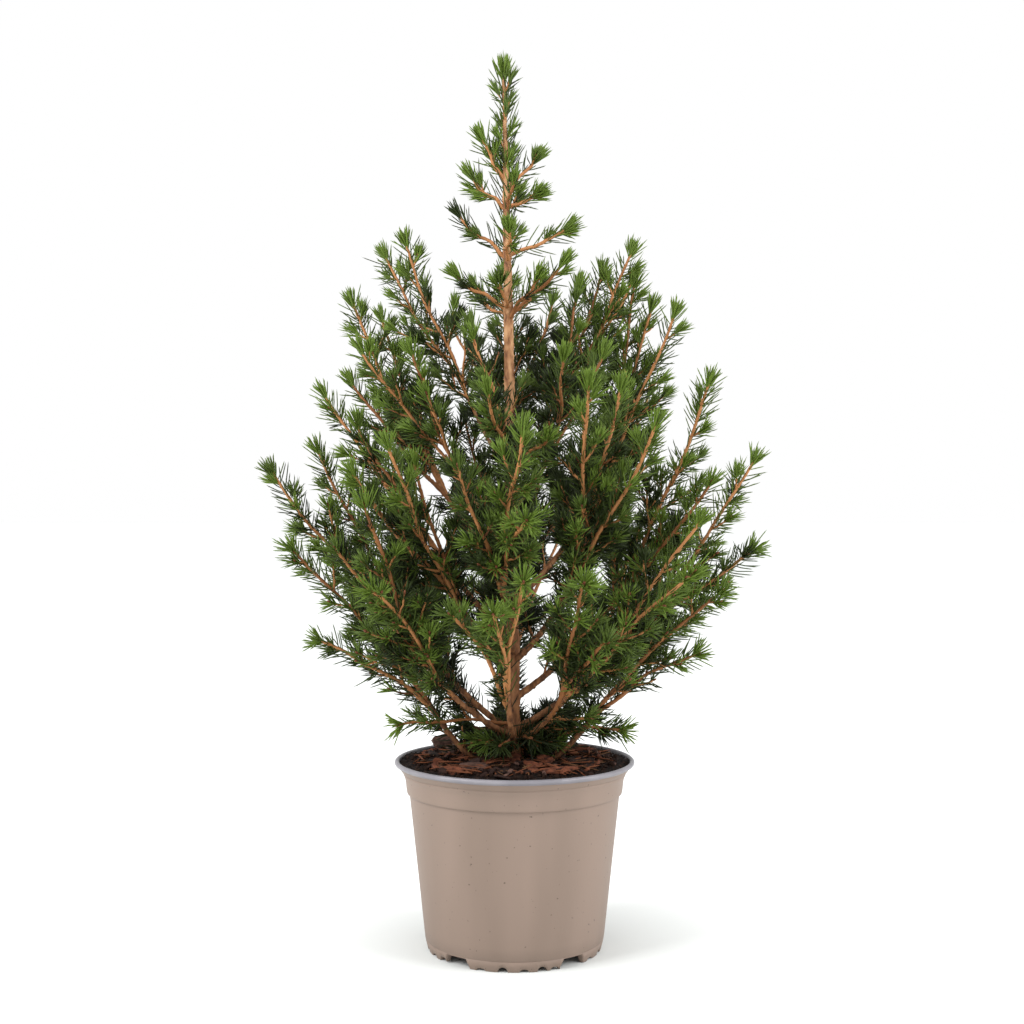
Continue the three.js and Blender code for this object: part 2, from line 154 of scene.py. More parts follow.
def trunk_taper():
    """The trunk's radius against height above its flare, as a cubic, and the flare's extra."""
    away = np.linalg.norm(trunk_corners - trunk_centre(trunk_corners[:, 2]), axis=1)
    skin = away > 0.4 * MM  # leaves out the middles of the two ends
    high = skin & (trunk_corners[:, 2] > trunk_foot + FLARE_TOP)
    taper = np.polyfit(trunk_corners[high, 2], away[high], 3)
    foot = away[skin & (trunk_corners[:, 2] < trunk_foot + 1 * MM)].mean()
    return taper, foot - np.polyval(taper, trunk_foot + FLARE_TOP)


trunk_cubic, trunk_flare = trunk_taper()


def trunk_radius(height):
    flare = trunk_flare * np.exp(-(height - trunk_foot) / FLARE_DECAY)
    wood = np.polyval(trunk_cubic, np.clip(height, trunk_foot + FLARE_TOP, trunk_top))
    return np.maximum(wood * TRUNK_WAIST, TRUNK_TIP_RADIUS) + flare


def bough_line(name):
    """The middle line of a bough from the trunk's axis to its end, and its radius there."""
    corners, _ = node_mesh(name)
    reach = np.linalg.norm((corners - trunk_centre(corners[:, 2]))[:, :2], axis=1)
    fits = [np.polyfit(reach, corners[:, i], 2) for i in range(3)]
    steps = np.linspace(0, reach.max(), BOUGH_POINTS)
    line = np.stack([np.polyval(fit, steps) for fit in fits], -1)
    line[0] = trunk_centre(line[0, 2])
    nearest = np.linalg.norm(corners[:, None] - line[None], axis=2).min(axis=1)
    return line, float(np.percentile(nearest, BOUGH_SKIN))


def shoot_tips(name, start):
    """The points of a foliage node that stand out furthest from where its shoots start."""
    corners, pairs = node_mesh(name)
    far = np.linalg.norm(corners - start, axis=1)
    peak = far > SHORTEST_SHOOT
    a, b = pairs[:, 0], pairs[:, 1]
    peak[a[far[a] < far[b]]] = False
    peak[b[far[b] < far[a]]] = False
    kept = []
    for i in np.argsort(-far):
        if peak[i] and all(np.linalg.norm(corners[i] - tip) > TIP_SPACING for tip in kept):
            kept.append(corners[i])
    return kept


# ---- Stems ----------------------------------------------------------------------------------


class Stem:
    """A tapering piece of wood along a line, with the needles it bears."""

    def __init__(self, line, foot_radius, tip_radius, kind):
        self.line = line
        self.kind = kind
        self.along = steps_along(line)
        self.length = self.along[-1]
        self.foot_radius = foot_radius
        self.tip_radius = tip_radius
        self.tangents = unit(np.gradient(line, axis=0))

    def at(self, distance):
        """Points and directions at distances along the stem."""
        distance = np.atleast_1d(distance)
        tangent = points_along(self.tangents, self.along, distance)
        return points_along(self.line, self.along, distance), unit(tangent)

    def radius(self, distance):
        share = np.clip(distance / self.length, 0, 1)
        return self.foot_radius + (self.tip_radius - self.foot_radius) * share


def cubic(start, leaving, arriving, end, sway, rng):
    """A curved, slightly swaying line, with the given directions at its ends."""
    third = np.linalg.norm(end - start) / 3
    controls = [start, start + unit(leaving) * third, end - unit(arriving) * third, end]
    count = max(5, int(3 * third / LINE_STEP))
    t = np.linspace(0, 1, count)[:, None]
    line = (1 - t) ** 3 * controls[0] + 3 * (1 - t) ** 2 * t * controls[1]
    line = line + 3 * (1 - t) * t**2 * controls[2] + t**3 * controls[3]
    phase = rng.uniform(0, 2 * math.pi, 3)
    return line + sway * (np.sin(t * 2 * math.pi * SWAY_WAVES + phase) * np.sin(math.pi * t))


def across(tangent, turn):
    """A direction square to the tangent, turned round it."""
    side = np.cross(tangent, UP)
    if np.linalg.norm(side) < UPRIGHT:
        side = np.array([1.0, 0.0, 0.0])
    side = unit(side)
    other = np.cross(tangent, side)
    return side * math.cos(turn) + other * math.sin(turn)


def main_shoot(start, direction, tip, radius, rng, kind="shoot"):
    """A shoot to a tip of the foliage, turning up if the tip is high and flattening if low."""
    chord = unit(tip - start)
    leaving = unit(direction) * 0.5 + chord * 0.5
    share = float(np.clip((tip[2] - LIFT_FROM) / LIFT_RANGE, 0, 1))
    lift = LIFT_LOW + (LIFT_HIGH - LIFT_LOW) * share
    if tip[1] < FACING["nearer"] and tip[2] < FACING["below"]:
        lift = FACING["lift"]
    arriving = chord * (1 - lift) + UP * lift
    end = tip - unit(arriving) * TIP_TUFT
    line = cubic(start, leaving, arriving, end, SHOOT_SWAY, rng)
    return Stem(line, radius, SHOOT_TIP_RADIUS, kind)


def side_shoot(parent, distance, turn, length, angle, kind, rng):
    """A short shoot out of the side of another, bending forwards and up, longer if it rises."""
    point, tangent = parent.at(distance)
    point, tangent = point[0], tangent[0]
    out = tangent * math.cos(angle) + across(tangent, turn) * math.sin(angle)
    later = unit(out + SIDE_FORWARD * tangent + SIDE_UPWARD * UP)
    length = max(length * (SIDE_LEVEL + SIDE_RISING * later[2]), SHORTEST_TWIG)
    end = point + unit(out + later) * length
    line = cubic(point, out, later, end, TWIG_SWAY, rng)
    slim = min(1, 0.55 + length / (40 * MM))
    foot = min(SIDE_FOOT_RADIUS, 0.85 * parent.radius(distance)) * slim
    return Stem(line, max(TWIG_TIP_RADIUS, foot), TWIG_TIP_RADIUS, kind)


# How side shoots grow: where the first may stand, how far apart they are at the foot and at the
# tip, their length as a share of the stem left beyond them, and the longest.
SIDE_RULES = {
    "side": (6 * MM, 6 * MM, 12 * MM, 0.30, 29 * MM),
    "inner": (16 * MM, 11 * MM, 7 * MM, 0.35, 23 * MM),
    "twig": (4.5 * MM, 6 * MM, 7 * MM, 0.40, 10 * MM),
}
SHORTEST_TWIG = 4.5 * MM
LEAST_SIDE = 3.5 * MM  # added to the share
SIDE_LENGTHS, SIDE_SPACINGS = (0.55, 1.1), (0.7, 1.35)  # how far both vary
SIDE_ANGLE, SIDE_ANGLE_JITTER, SIDE_TURN_JITTER = 46, 6, 0.25  # degrees, degrees and radians
SIDE_FORWARD, SIDE_UPWARD = 0.35, 0.18  # how far side shoots bend along their parent, and up
SIDE_LEVEL, SIDE_RISING = 0.80, 0.42
SIDES_END = 7 * MM  # the last part of a stem, without side shoots
TWIGS_FROM = 14 * MM  # side shoots longer than this bear twigs


def grow_sides(parent, kind, rng):
    """Side shoots all along a stem, closer and longer near its foot."""
    first, foot_spacing, tip_spacing, share, longest = SIDE_RULES[kind]
    grown = []
    distance = first + rng.uniform(0, foot_spacing)
    turn = rng.uniform(0, 2 * math.pi)
    while distance < parent.length - SIDES_END:
        left = parent.length - distance
        length = min(longest, share * left + LEAST_SIDE) * rng.uniform(*SIDE_LENGTHS)
        angle = math.radians(rng.normal(SIDE_ANGLE, SIDE_ANGLE_JITTER))
        grown.append(side_shoot(parent, distance, turn, length, angle, kind, rng))
        turn += GOLDEN_TURN + rng.normal(0, SIDE_TURN_JITTER)
        along = distance / parent.length
        spacing = foot_spacing + (tip_spacing - foot_spacing) * along
        distance += spacing * rng.uniform(*SIDE_SPACINGS)
    return grown


def with_twigs(sides, rng):
    """The side shoots that keep clear of the openings, and the twigs of the longer ones."""
    grown = []
    for side in sides:
        twigs = grow_sides(side, "twig", rng) if side.length > TWIGS_FROM else []
        if keeps_clear(side):
            grown.append(side)
            grown += [twig for twig in twigs if keeps_clear(twig)]
    return grown


# ---- The plant's skeleton -------------------------------------------------------------------


def grow_limb(name, rng):
    """One limb: its bough, the main shoots to its tips, and their side shoots."""
    line, radius = bough_line("bough_" + name)
    bough = Stem(line, radius * BOUGH_WAIST, radius * BOUGH_END, "bough")
    stems = [bough]
    for number, tip in enumerate(shoot_tips("foliage_" + name, line[-1])):
        start, direction = bough.at(bough.length * (1 - FORK_STEP * number))
        foot_radius = min(bough.tip_radius, SHOOT_FOOT_RADIUS)
        shoot = main_shoot(start[0], direction[0], tip, foot_radius, rng)
        stems.append(shoot)
        stems += with_twigs(grow_sides(shoot, "side", rng), rng)
    return stems + with_twigs(grow_sides(bough, "inner", rng), rng)


def grow_whorl(name, rng):
    """Short shoots out of the leader, one to each tip of the whorl's foliage."""
    foot = trunk_centre(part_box(name)[0].z + WHORL_FOOT)
    stems = []
    for tip in shoot_tips(name, foot):
        if np.linalg.norm((tip - trunk_centre(tip[2]))[:2]) < WHORL_REACH:
            continue
        scatter = rng.uniform(-WHORL_SCATTER, WHORL_SCATTER) * MM
        start = trunk_centre(foot[2] - WHORL_DROP + scatter)
        shoot = main_shoot(start, unit(tip - start), tip, WHORL_FOOT_RADIUS, rng, "whorl")
        stems.append(shoot)
        for _ in range(rng.integers(1, 4)):
            distance = shoot.length * rng.uniform(0.45, 0.9)
            turn = rng.uniform(0, 2 * math.pi)
            twig = side_shoot(
                shoot, distance, turn, WHORL_TWIG, WHORL_TWIG_ANGLE, "twig", rng
            )
            stems += [twig] if keeps_clear(twig) else []
    return stems


def grow_sprig(name, rng):
    """A small low shoot straight from the trunk's foot."""
    corners, _ = node_mesh(name)
    reach = np.linalg.norm(corners[:, :2], axis=1)
    tip = corners[np.argmax(reach)]
    start = trunk_centre(corners[np.argmin(reach), 2])
    shoot = main_shoot(start, unit(tip - start), tip, SPRIG_FOOT_RADIUS, rng)
    return [shoot] + with_twigs(grow_sides(shoot, "side", rng), rng)


def low_sprays(rng):
    """Short flat sprays out of the trunk's foot, low over the compost."""
    sprays = []
    for number in range(LOW_SPRAYS):
        turn = number * GOLDEN_TURN + rng.normal(0, 0.15)
        start = trunk_centre(trunk_foot + rng.uniform(*LOW_SPRAY_FOOT) * MM)
        rise = rng.uniform(*LOW_SPRAY_RISE)
        direction = unit(np.array([math.cos(turn), math.sin(turn), rise]))
        tip = start + direction * rng.uniform(*LOW_SPRAY_LENGTH) * MM
        sprays.append(main_shoot(start, direction, tip, LOW_FOOT_RADIUS, rng))
    return with_twigs(sprays, rng)


def names_with(prefix):
    return sorted(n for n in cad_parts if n.startswith(prefix))


leader_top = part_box("foliage_leader")[1].z
leader_end = leader_top - LEADER_TUFT
leader_foot = trunk_foot + BARE_TRUNK


def leader_stem():
    """The trunk above the boughs, which bears needles of its own."""
    line = trunk_centre(np.linspace(leader_foot, leader_end, 80))
    return Stem(line, trunk_radius(leader_foot), LEADER_TIP_RADIUS, "leader")


def leader_twigs(leader, rng):
    """Short upright twigs close round the leader's last part."""
    twigs = []
    turn = 0.5
    before, until, spacing = LEADER_TWIGS
    for distance in np.arange(leader.length - before, leader.length - until, spacing):
        angle = math.radians(rng.uniform(28, 40))
        length = rng.uniform(4.5, 8) * MM
        twigs.append(side_shoot(leader, distance, turn, length, angle, "twig", rng))
        turn += GOLDEN_TURN
    return twigs


def grow_plant():
    leader = leader_stem()
    stems = [leader] + leader_twigs(leader, seeded("leader"))
    for number, node in enumerate(names_with("bough_")):
        stems += grow_limb(node[len("bough_"):], seeded("limb", number))
    for number, node in enumerate(names_with("foliage_whorl") + ["foliage_leader"]):
        stems += grow_whorl(node, seeded("whorl", number))
    for number, node in enumerate(names_with("foliage_sprig")):
        stems += grow_sprig(node, seeded("sprig", number))
    return stems + low_sprays(seeded("low"))


# ---- Openings -------------------------------------------------------------------------------

# Where the sky shows through the plant from the front: middle x and z, half width and half
# height, in mm on the upright plane through the trunk.
OPENINGS = np.array([
    (-18.0, 149.8, 8.4, 6.2),
    (16.8, 142.2, 7.8, 7.3),
    (-18.0, 123.4, 7.2, 5.2),
    (9.2, 158.5, 3.4, 3.4),
    (-44.4, 250.5, 10.3, 6.8),
    (-42.5, 220.0, 6.0, 4.8),
    (-38.9, 270.0, 4.6, 4.3),
    (14.4, 194.2, 6.0, 3.8),
    (21.2, 215.1, 4.2, 3.6),
    (105.2, 226.0, 3.4, 3.6),
    (-30.2, 322.5, 3.6, 9.0),
    (-40.6, 354.0, 4.2, 11.0),
    (76.4, 331.0, 2.6, 7.0),
    (91.1, 277.4, 3.6, 8.0),
    (-91.0, 147.0, 9.0, 4.2),
    (-72.0, 132.5, 9.0, 4.6),
    (62.0, 131.5, 10.0, 4.4),
    (84.0, 144.0, 9.0, 4.0),
]) * MM

# The trunk's two bare stretches, and the boughs whose wood shows along this share of them.
BARE_STRETCHES = ((124 * MM, 178 * MM), (306 * MM, 338 * MM))
BARE_BOUGHS = {
    "low_left": 0.85, "low_right": 0.75, "left": 0.6, "low_front_left": 0.45, "right": 0.55,
}
TRUNK_CLEAR = 3.2 * MM
BOUGH_CLEAR = 1.9 * MM
SHOOT_CLEAR = 1.3 * MM
SHOOT_WINDOW = 20 * MM  # needles further than this in front of a main shoot may hide it
ANY_DEPTH = 1.0  # a window deeper than the plant
CLEAR_OF_OPENINGS = 0.85  # how far into an opening a side shoot may reach
TUFTED = 7 * MM  # the end of a main shoot, whose wood stays hidden
CELL = 0.6 * MM  # of the front view
CELLS = np.array([520, 720])
VIEW_CORNER = np.array([-156.0, 90.0]) * MM


def from_front(points):
    """Where points show from the front, as x and z on the upright plane through the trunk."""
    points = np.atleast_2d(points)
    scale = -EYE[1] / (points[:, 1] - EYE[1])
    return (points[:, [0, 2]] - EYE[[0, 2]]) * scale[:, None] + EYE[[0, 2]]


def cells_of(points, shift=(0, 0)):
    spot = ((from_front(points) - VIEW_CORNER) / CELL).astype(int) + shift
    return tuple(np.clip(spot, 0, CELLS - 1).T)


def depth_map(lines, half_width):
    """How near the camera the wood along some lines stands, for each cell of the front view."""
    nearest = np.full(CELLS, np.inf)
    points = np.concatenate([fine_line(line) for line in lines])
    reach = int(half_width / CELL)
    for right in range(-reach, reach + 1):
        for up in range(-reach, reach + 1):
            if math.hypot(right, up) <= reach + 0.3:
                np.minimum.at(nearest, cells_of(points, (right, up)), points[:, 1])
    return nearest


def fine_line(line):
    """A line with its points less than a cell apart."""
    along = steps_along(line)
    return points_along(line, along, np.arange(0, along[-1], 0.8 * CELL))


def in_front(points, nearest, window):
    """Whether points stand in front of the wood of a depth map, by no more than a window."""
    gap = nearest[cells_of(points)] - np.atleast_2d(points)[:, 1]
    return (gap > 1 * MM) & (gap < window)


def bare_wood():
    """Depth map of the wood that is seen bare from the front."""
    trunk = [trunk_centre(np.arange(low, high, 2 * MM)) for low, high in BARE_STRETCHES]
    boughs = []
    for name, share in BARE_BOUGHS.items():
        line, _ = bough_line("bough_" + name)
        boughs.append(line[: int(len(line) * share)])
    return np.minimum(depth_map(trunk, TRUNK_CLEAR), depth_map(boughs, BOUGH_CLEAR))


bare_map = bare_wood()


def openness(points):
    """Below 1 for points seen in an opening, and 1 at its edge."""
    away = (from_front(points)[:, None] - OPENINGS[None, :, :2]) / OPENINGS[None, :, 2:]
    return np.linalg.norm(away, axis=2).min(axis=1)


def keeps_clear(stem):
    """Whether a side shoot stays out of the openings and off the bare wood."""
    outer = stem.line[1:]
    if openness(outer).min() <= CLEAR_OF_OPENINGS:
        return False
    return not in_front(outer, bare_map, ANY_DEPTH).any()


def shoots_map(stems):
    """Depth map of the main shoots up to their tufts, whose wood shows between their needles."""
    lines = []
    for stem in stems:
        if stem.kind in ("shoot", "whorl", "leader"):
            lines.append(stem.line[stem.along < stem.length - TUFTED])
    return depth_map(lines, SHOOT_CLEAR)


# ---- Needles --------------------------------------------------------------------------------

# What a kind of stem bears: needles per metre, their share of the full length, their spread from
# the stem in degrees, how bare its foot is, and the needles in its end tuft.
BEARING = {
    "leader": (950, 1.2, 38, 0.5, 60),
    "whorl": (950, 1.0, 46, 0.6, 34),
    "bough": (1000, 1.0, 68, 1.0, 4),
    "shoot": (1450, 1.04, 56, 0.1, 32),
    "side": (1600, 0.94, 54, 0.05, 23),
    "inner": (1500, 0.92, 56, 0.1, 16),
    "twig": (1600, 0.82, 50, 0.0, 18),
}
TUFT_LENGTH = 3.0 * MM  # the end of a stem that bears its tuft
TIGHT_TUFT, LOOSE_TUFT = (3, 29), (18, 64)  # degrees from the stem, on high and on low shoots
LOOSE_BELOW, LOOSE_RANGE = 290 * MM, 90 * MM
CLOSING = 4.5 * MM  # over this distance from the tip the needles close up round the bud
LONGEST_NEEDLE, SHORTEST_NEEDLE, LENGTH_JITTER = 14.5 * MM, 3 * MM, 0.14
ANGLE_JITTER, TURN_JITTER = 8, 0.3  # degrees and radians
NEEDLE_LIFT = 0.15  # how far needles on level shoots turn up


def needles_of(stem, rng):
    """Rows of needles on a stem: foot, direction, length, forward bend, and distance to the tip."""
    per_metre, size, spread, bare, tuft = BEARING[stem.kind]
    count = max(6, int(per_metre * stem.length))
    distance = stem.length * rng.uniform(0.02, 1, count) ** (1 / (1 + bare))
    in_tuft = stem.length - rng.uniform(0, 1, tuft) * TUFT_LENGTH
    distance = np.concatenate([np.sort(distance), in_tuft])
    count = len(distance)
    point, tangent = stem.at(distance)
    turn = np.arange(count) * GOLDEN_TURN + rng.normal(0, TURN_JITTER, count)
    side = np.cross(tangent, UP)
    side[np.linalg.norm(side, axis=1) < UPRIGHT] = [1.0, 0.0, 0.0]
    side = unit(side)
    other = np.cross(tangent, side)
    radial = side * np.cos(turn)[:, None] + other * np.sin(turn)[:, None]
    left = stem.length - distance
    closing = np.exp(-left / CLOSING)
    loose = float(np.clip((LOOSE_BELOW - stem.line[-1][2]) / LOOSE_RANGE, 0, 1))
    angle = spread * (1 - (0.6 - 0.35 * loose) * closing) + rng.normal(0, ANGLE_JITTER, count)
    angle = np.radians(angle)
    low, high = (tight + (wide - tight) * loose for tight, wide in zip(TIGHT_TUFT, LOOSE_TUFT))
    angle[-tuft:] = np.radians(rng.uniform(low, high, tuft))
    direction = tangent * np.cos(angle)[:, None] + radial * np.sin(angle)[:, None]
    level = 1 - np.abs(tangent[:, 2])
    direction = unit(direction + UP * (NEEDLE_LIFT * level)[:, None])
    length = NEEDLE_LENGTH * size * rng.normal(1, LENGTH_JITTER, count) * (1 - 0.12 * closing)
    foot = point + radial * (stem.radius(distance) * 0.75)[:, None]
    bend = tangent * rng.uniform(0.05, 0.4, count)[:, None] * (1 - closing)[:, None]
    bend += radial * rng.normal(0, 0.06, count)[:, None]
    return foot, direction, np.clip(length, SHORTEST_NEEDLE, LONGEST_NEEDLE), bend, left


WIDEST, NARROWS_OVER = 135 * MM, 250 * MM  # the plant narrows over this height below its top
OPEN_FROM, OPEN_OVER = 300 * MM, 90 * MM  # light reaches all the wood above


def exposure_of(point):
    """How far out in the plant a point lies: 0 at the trunk, 1 at the outline or near the top."""
    reach = WIDEST * np.clip((leader_top - point[2]) / NARROWS_OVER, 0.12, 1.0)
    outward = np.linalg.norm((point - trunk_centre(point[2]))[:2]) / reach
    upward = (point[2] - OPEN_FROM) / OPEN_OVER
    return float(np.clip(max(outward, upward), 0, 1))


SPRAY_TONE = {  # 1 is light green and 4 the deepest
    "leader": 1.6, "whorl": 1.9, "bough": 3.6, "shoot": 1.9, "side": 2.2, "inner": 3.3, "twig": 2.3,
}
SPRAY_JITTER, NEEDLE_JITTER = 0.55, 0.35
# Painted shade: sprays less exposed than this, deeper in the crown, get darker greens.
LIT_FROM = 0.72  # less exposed sprays are deeper in tone


def spray_tone(stem, rng):
    """The tone of a whole spray: by its kind, darker the less exposed it lies in the crown, which
    is painted shade, and varied at random.
    """
    depth = max(LIT_FROM - exposure_of(stem.line[-1]), -0.15)
    return SPRAY_TONE[stem.kind] + 2.6 * depth + rng.normal(0, SPRAY_JITTER)


# Five greens: fresh is new growth; the deeper ones stand partly for older needles and partly for
# painted shade deep in the crown.
TONES = [
    ("fresh", (0.108, 0.168, 0.022)),
    ("light", (0.075, 0.115, 0.018)),
    ("middle", (0.045, 0.070, 0.0125)),
    ("deep", (0.025, 0.038, 0.008)),
    ("shade", (0.012, 0.018, 0.0045)),
]
FRESH_END = 7 * MM  # the last needles of a spray are fresh, or light on a somewhat deeper one
FRESH_BELOW, LIGHT_BELOW = 2.3, 2.9  # the spray's tone
OLD_FROM, OLD_DEEPER = 38 * MM, 0.9  # further from the tip the needles are older and deeper
FINE_KINDS = ("leader", "whorl", "shoot")
HIDING_LOST = 0.6  # share of the needles in front of a main shoot's wood that are missing
BARE_LOST = 0.85  # and of those in front of the bare trunk and boughs
LOOKED_AT = (0.25, 0.6, 0.95)  # places along a needle
OPENING_EDGE = (0.75, 1.1)  # the openings end raggedly


def all_needles(stems):
    """Every needle of the plant, dealt out to (tone, fineness) by spray."""
    rng = seeded("needles")
    shoot_map = shoots_map(stems)
    dealt = {}
    for stem in stems:
        tone = spray_tone(stem, rng)
        rows = needles_of(stem, rng)
        left = rows[4]
        jitter = rng.normal(0, NEEDLE_JITTER, len(left))
        number = tone + (left > OLD_FROM) * OLD_DEEPER + jitter
        number = np.clip(np.round(number), 1, 4).astype(int)
        if tone < LIGHT_BELOW and stem.kind not in ("bough", "inner"):
            number[left < FRESH_END * rng.uniform(0.5, 1.2)] = 0 if tone < FRESH_BELOW else 1
        kept = rows[0][:, 2] > trunk_foot + 2 * MM
        hides, hides_bare = np.zeros((2, len(kept)), bool)
        for share in LOOKED_AT:
            place = rows[0] + (rows[1] + rows[3] * share) * (rows[2] * share)[:, None]
            kept &= openness(place) > rng.uniform(*OPENING_EDGE, len(place))
            hides_bare |= in_front(place, bare_map, ANY_DEPTH)
            hides |= in_front(place, shoot_map, SHOOT_WINDOW)
        chance = rng.uniform(0, 1, len(kept))
        kept &= (~hides | (chance > HIDING_LOST)) & (~hides_bare | (chance > BARE_LOST))
        rows, number = [row[kept] for row in rows], number[kept]
        fine = stem.kind in FINE_KINDS
        for shade in np.unique(number):
            mask = number == shade
            dealt.setdefault((int(shade), fine), []).append([row[mask] for row in rows[:4]])
    return {key: [np.concatenate(row) for row in zip(*parts)] for key, parts in dealt.items()}


# The rings of a needle: place along it and share of its width. Needles on the outer shoots have
# one ring more, so that their curve shows.
FINE_RINGS = ((0.0, 0.7), (0.4, 1.0), (0.86, 0.82))
PLAIN_RINGS = ((0.0, 0.75), (0.62, 1.0))


def needle_arrays(foot, direction, length, bend, rings):
    """Corners and faces of needles: three-sided, widest in the middle, with a blunt point."""
    count = len(foot)
    side = unit(np.cross(direction, bend + 0.01 * UP))
    other = np.cross(direction, side)
    layers = []
    for along, outline in rings:
        middle = foot + direction * (length * along)[:, None]
        middle = middle + bend * (length * along**2)[:, None]
        for corner in range(3):
            turn = 2 * math.pi * corner / 3
            offset = side * math.cos(turn) + other * math.sin(turn)
            layers.append(middle + offset * (NEEDLE_HALF_WIDTH * outline))
    layers.append(foot + direction * length[:, None] + bend * length[:, None])
    corners = np.stack(layers, 1).reshape(-1, 3)
    size = len(layers)
    faces = []
    for ring in range(len(rings) - 1):
        for corner in range(3):
            a, b = 3 * ring + corner, 3 * ring + (corner + 1) % 3
            faces.append([a, b, b + 3, a + 3])
    starts = size * np.arange(count)[:, None, None]
    quads = (np.array(faces)[None] + starts).reshape(-1, 4)
    last = 3 * (len(rings) - 1)
    points = [[last + c, last + (c + 1) % 3, size - 1] for c in range(3)]
    tris = (np.array(points)[None] + starts).reshape(-1, 3)
    return corners, quads, tris


# ---- Meshes ---------------------------------------------------------------------------------


def mesh_piece(name, corners, quads, tris, smooth=True):
    """A mesh object from arrays of corners, four-sided and three-sided faces."""
    mesh = bpy.data.meshes.new(name)
    mesh.vertices.add(len(corners))
    mesh.vertices.foreach_set("co", np.asarray(corners, np.float32).ravel())
    quads = np.asarray(quads, np.int32).reshape(-1, 4)
    tris = np.asarray(tris, np.int32).reshape(-1, 3)
    loops = np.concatenate([quads.ravel(), tris.ravel()])
    starts = [np.arange(len(quads)) * 4, len(quads) * 4 + np.arange(len(tris)) * 3]
    starts = np.concatenate(starts)
    mesh.loops.add(len(loops))
    mesh.loops.foreach_set("vertex_index", loops)
    mesh.polygons.add(len(starts))
    mesh.polygons.foreach_set("loop_start", starts.astype(np.int32))
    mesh.polygons.foreach_set("use_smooth", np.full(len(starts), smooth))
    mesh.update(calc_edges=True)
    piece = bpy.data.objects.new(name, mesh)
    bpy.context.scene.collection.objects.link(piece)
    return piece


def loft_faces(rings, columns):
    """Four-sided faces between rings of corners, and fans to the one corner added at each end."""
    column = np.arange(columns)
    after = (column + 1) % columns
    start = (np.arange(rings - 1) * columns)[:, None]
    quads = [start + column, start + after, start + after + columns, start + column + columns]
    last = (rings - 1) * columns
    first_end, last_end = (np.full(columns, rings * columns + end) for end in (0, 1))
    tris = np.concatenate([
        np.stack([after, column, first_end], -1),
        np.stack([last + column, last + after, last_end], -1),
    ])
    return np.stack(quads, -1).reshape(-1, 4), tris


def tube_arrays(line, radii, sides):
    """Corners and faces of a tube that follows a line, closed at both ends."""
    tangents = unit(np.gradient(line, axis=0))
    side = np.cross(tangents[0], UP)
    side = unit(side) if np.linalg.norm(side) > UPRIGHT else np.array([1.0, 0.0, 0.0])
    turn = 2 * math.pi * np.arange(sides) / sides
    corners = []
    for point, tangent, radius in zip(line, tangents, radii):
        side = unit(side - tangent * np.dot(side, tangent))
        other = np.cross(tangent, side)
        ring = side[None] * np.cos(turn)[:, None] + other[None] * np.sin(turn)[:, None]
        corners.append(point + ring * np.reshape(radius, (-1, 1)))
    corners.append(line[[0, -1]])
    return np.concatenate(corners), *loft_faces(len(line), sides)


class Collector:
    """Joins many small shapes of one kind into one mesh."""

    def __init__(self):
        self.corners, self.quads, self.tris, self.count = [], [], [], 0

    def add(self, corners, quads, tris):
        self.corners.append(corners)
        self.quads.append(np.asarray(quads).reshape(-1, 4) + self.count)
        self.tris.append(np.asarray(tris).reshape(-1, 3) + self.count)
        self.count += len(corners)

    def piece(self, name, smooth=True):
        arrays = [np.concatenate(part) for part in (self.corners, self.quads, self.tris)]
        return mesh_piece(name, *arrays, smooth)


# The shoots' wood as a lit, a middle and a shaded copy of one colour: painted light and shade.
WOOD_TONES = [
    ("light", (0.385, 0.165, 0.058)),
    ("middle", (0.255, 0.100, 0.033)),
    ("dark", (0.115, 0.044, 0.017)),
]
PEG_STEP = {"shoot": 1.3 * MM, "whorl": 1.3 * MM}  # between the rings of knobbly main shoots
OTHER_STEP = 2.2 * MM


def shoot_wood(stems):
    """The wood of shoots and twigs, knobbly with the pegs that needles stand on, by tone: darker
    deeper in the crown, as painted shade.
    """
    rng = seeded("wood")
    tones = [Collector() for _ in WOOD_TONES]
    for stem in stems:
        if stem.kind in ("bough", "leader"):
            continue
        sides = 8 if stem.kind in PEG_STEP else 6
        count = max(4, int(stem.length / PEG_STEP.get(stem.kind, OTHER_STEP)))
        distance = np.linspace(0, stem.length, count)
        point, _ = stem.at(distance)
        radius = stem.radius(distance)[:, None] * rng.uniform(0.80, 1.18, (count, sides))
        # Painted shade: the deeper in the crown a shoot stands, the darker the tone of its wood.
        depth = 0.9 - exposure_of(stem.line[len(stem.line) // 2])
        tone = int(np.clip(round(1.4 * depth + rng.normal(-0.1, 0.4)), 0, 2))
        tones[tone].add(*tube_arrays(point, radius, sides))
    return tones


BUD_OUTLINE = ((0.0, 0.55), (0.22, 0.95), (0.5, 1.0), (0.8, 0.6), (0.97, 0.15))
BUD_RADIUS = 0.72 * MM
BUD_LENGTH = 2.4 * MM


def buds(stems):
    """A small scaly bud at the end of every shoot."""
    rng = seeded("buds")
    joined = Collector()
    for stem in stems:
        if stem.kind in ("bough", "inner"):
            continue
        size = rng.uniform(0.8, 1.15) * (0.8 if stem.kind == "twig" else 1.0)
        end, tangent = stem.line[-1], stem.tangents[-1]
        line = np.array([end + tangent * (share * BUD_LENGTH * size) for share, _ in BUD_OUTLINE])
        ring = np.array([width * BUD_RADIUS * size for _, width in BUD_OUTLINE])
        radius = ring[:, None] * rng.uniform(0.88, 1.12, (len(ring), 6))
        joined.add(*tube_arrays(line, radius, 6))
    return joined


# The scale of the bark's noise across and along a limb, per metre.
FLAKES, RIDGES, SCARS = (650, 380), (1500, 260), (900, 1100)
SCAR_LEVEL, SCAR_HEIGHT = 0.28, 1.3 * MM  # the noise shows as a scar above this level


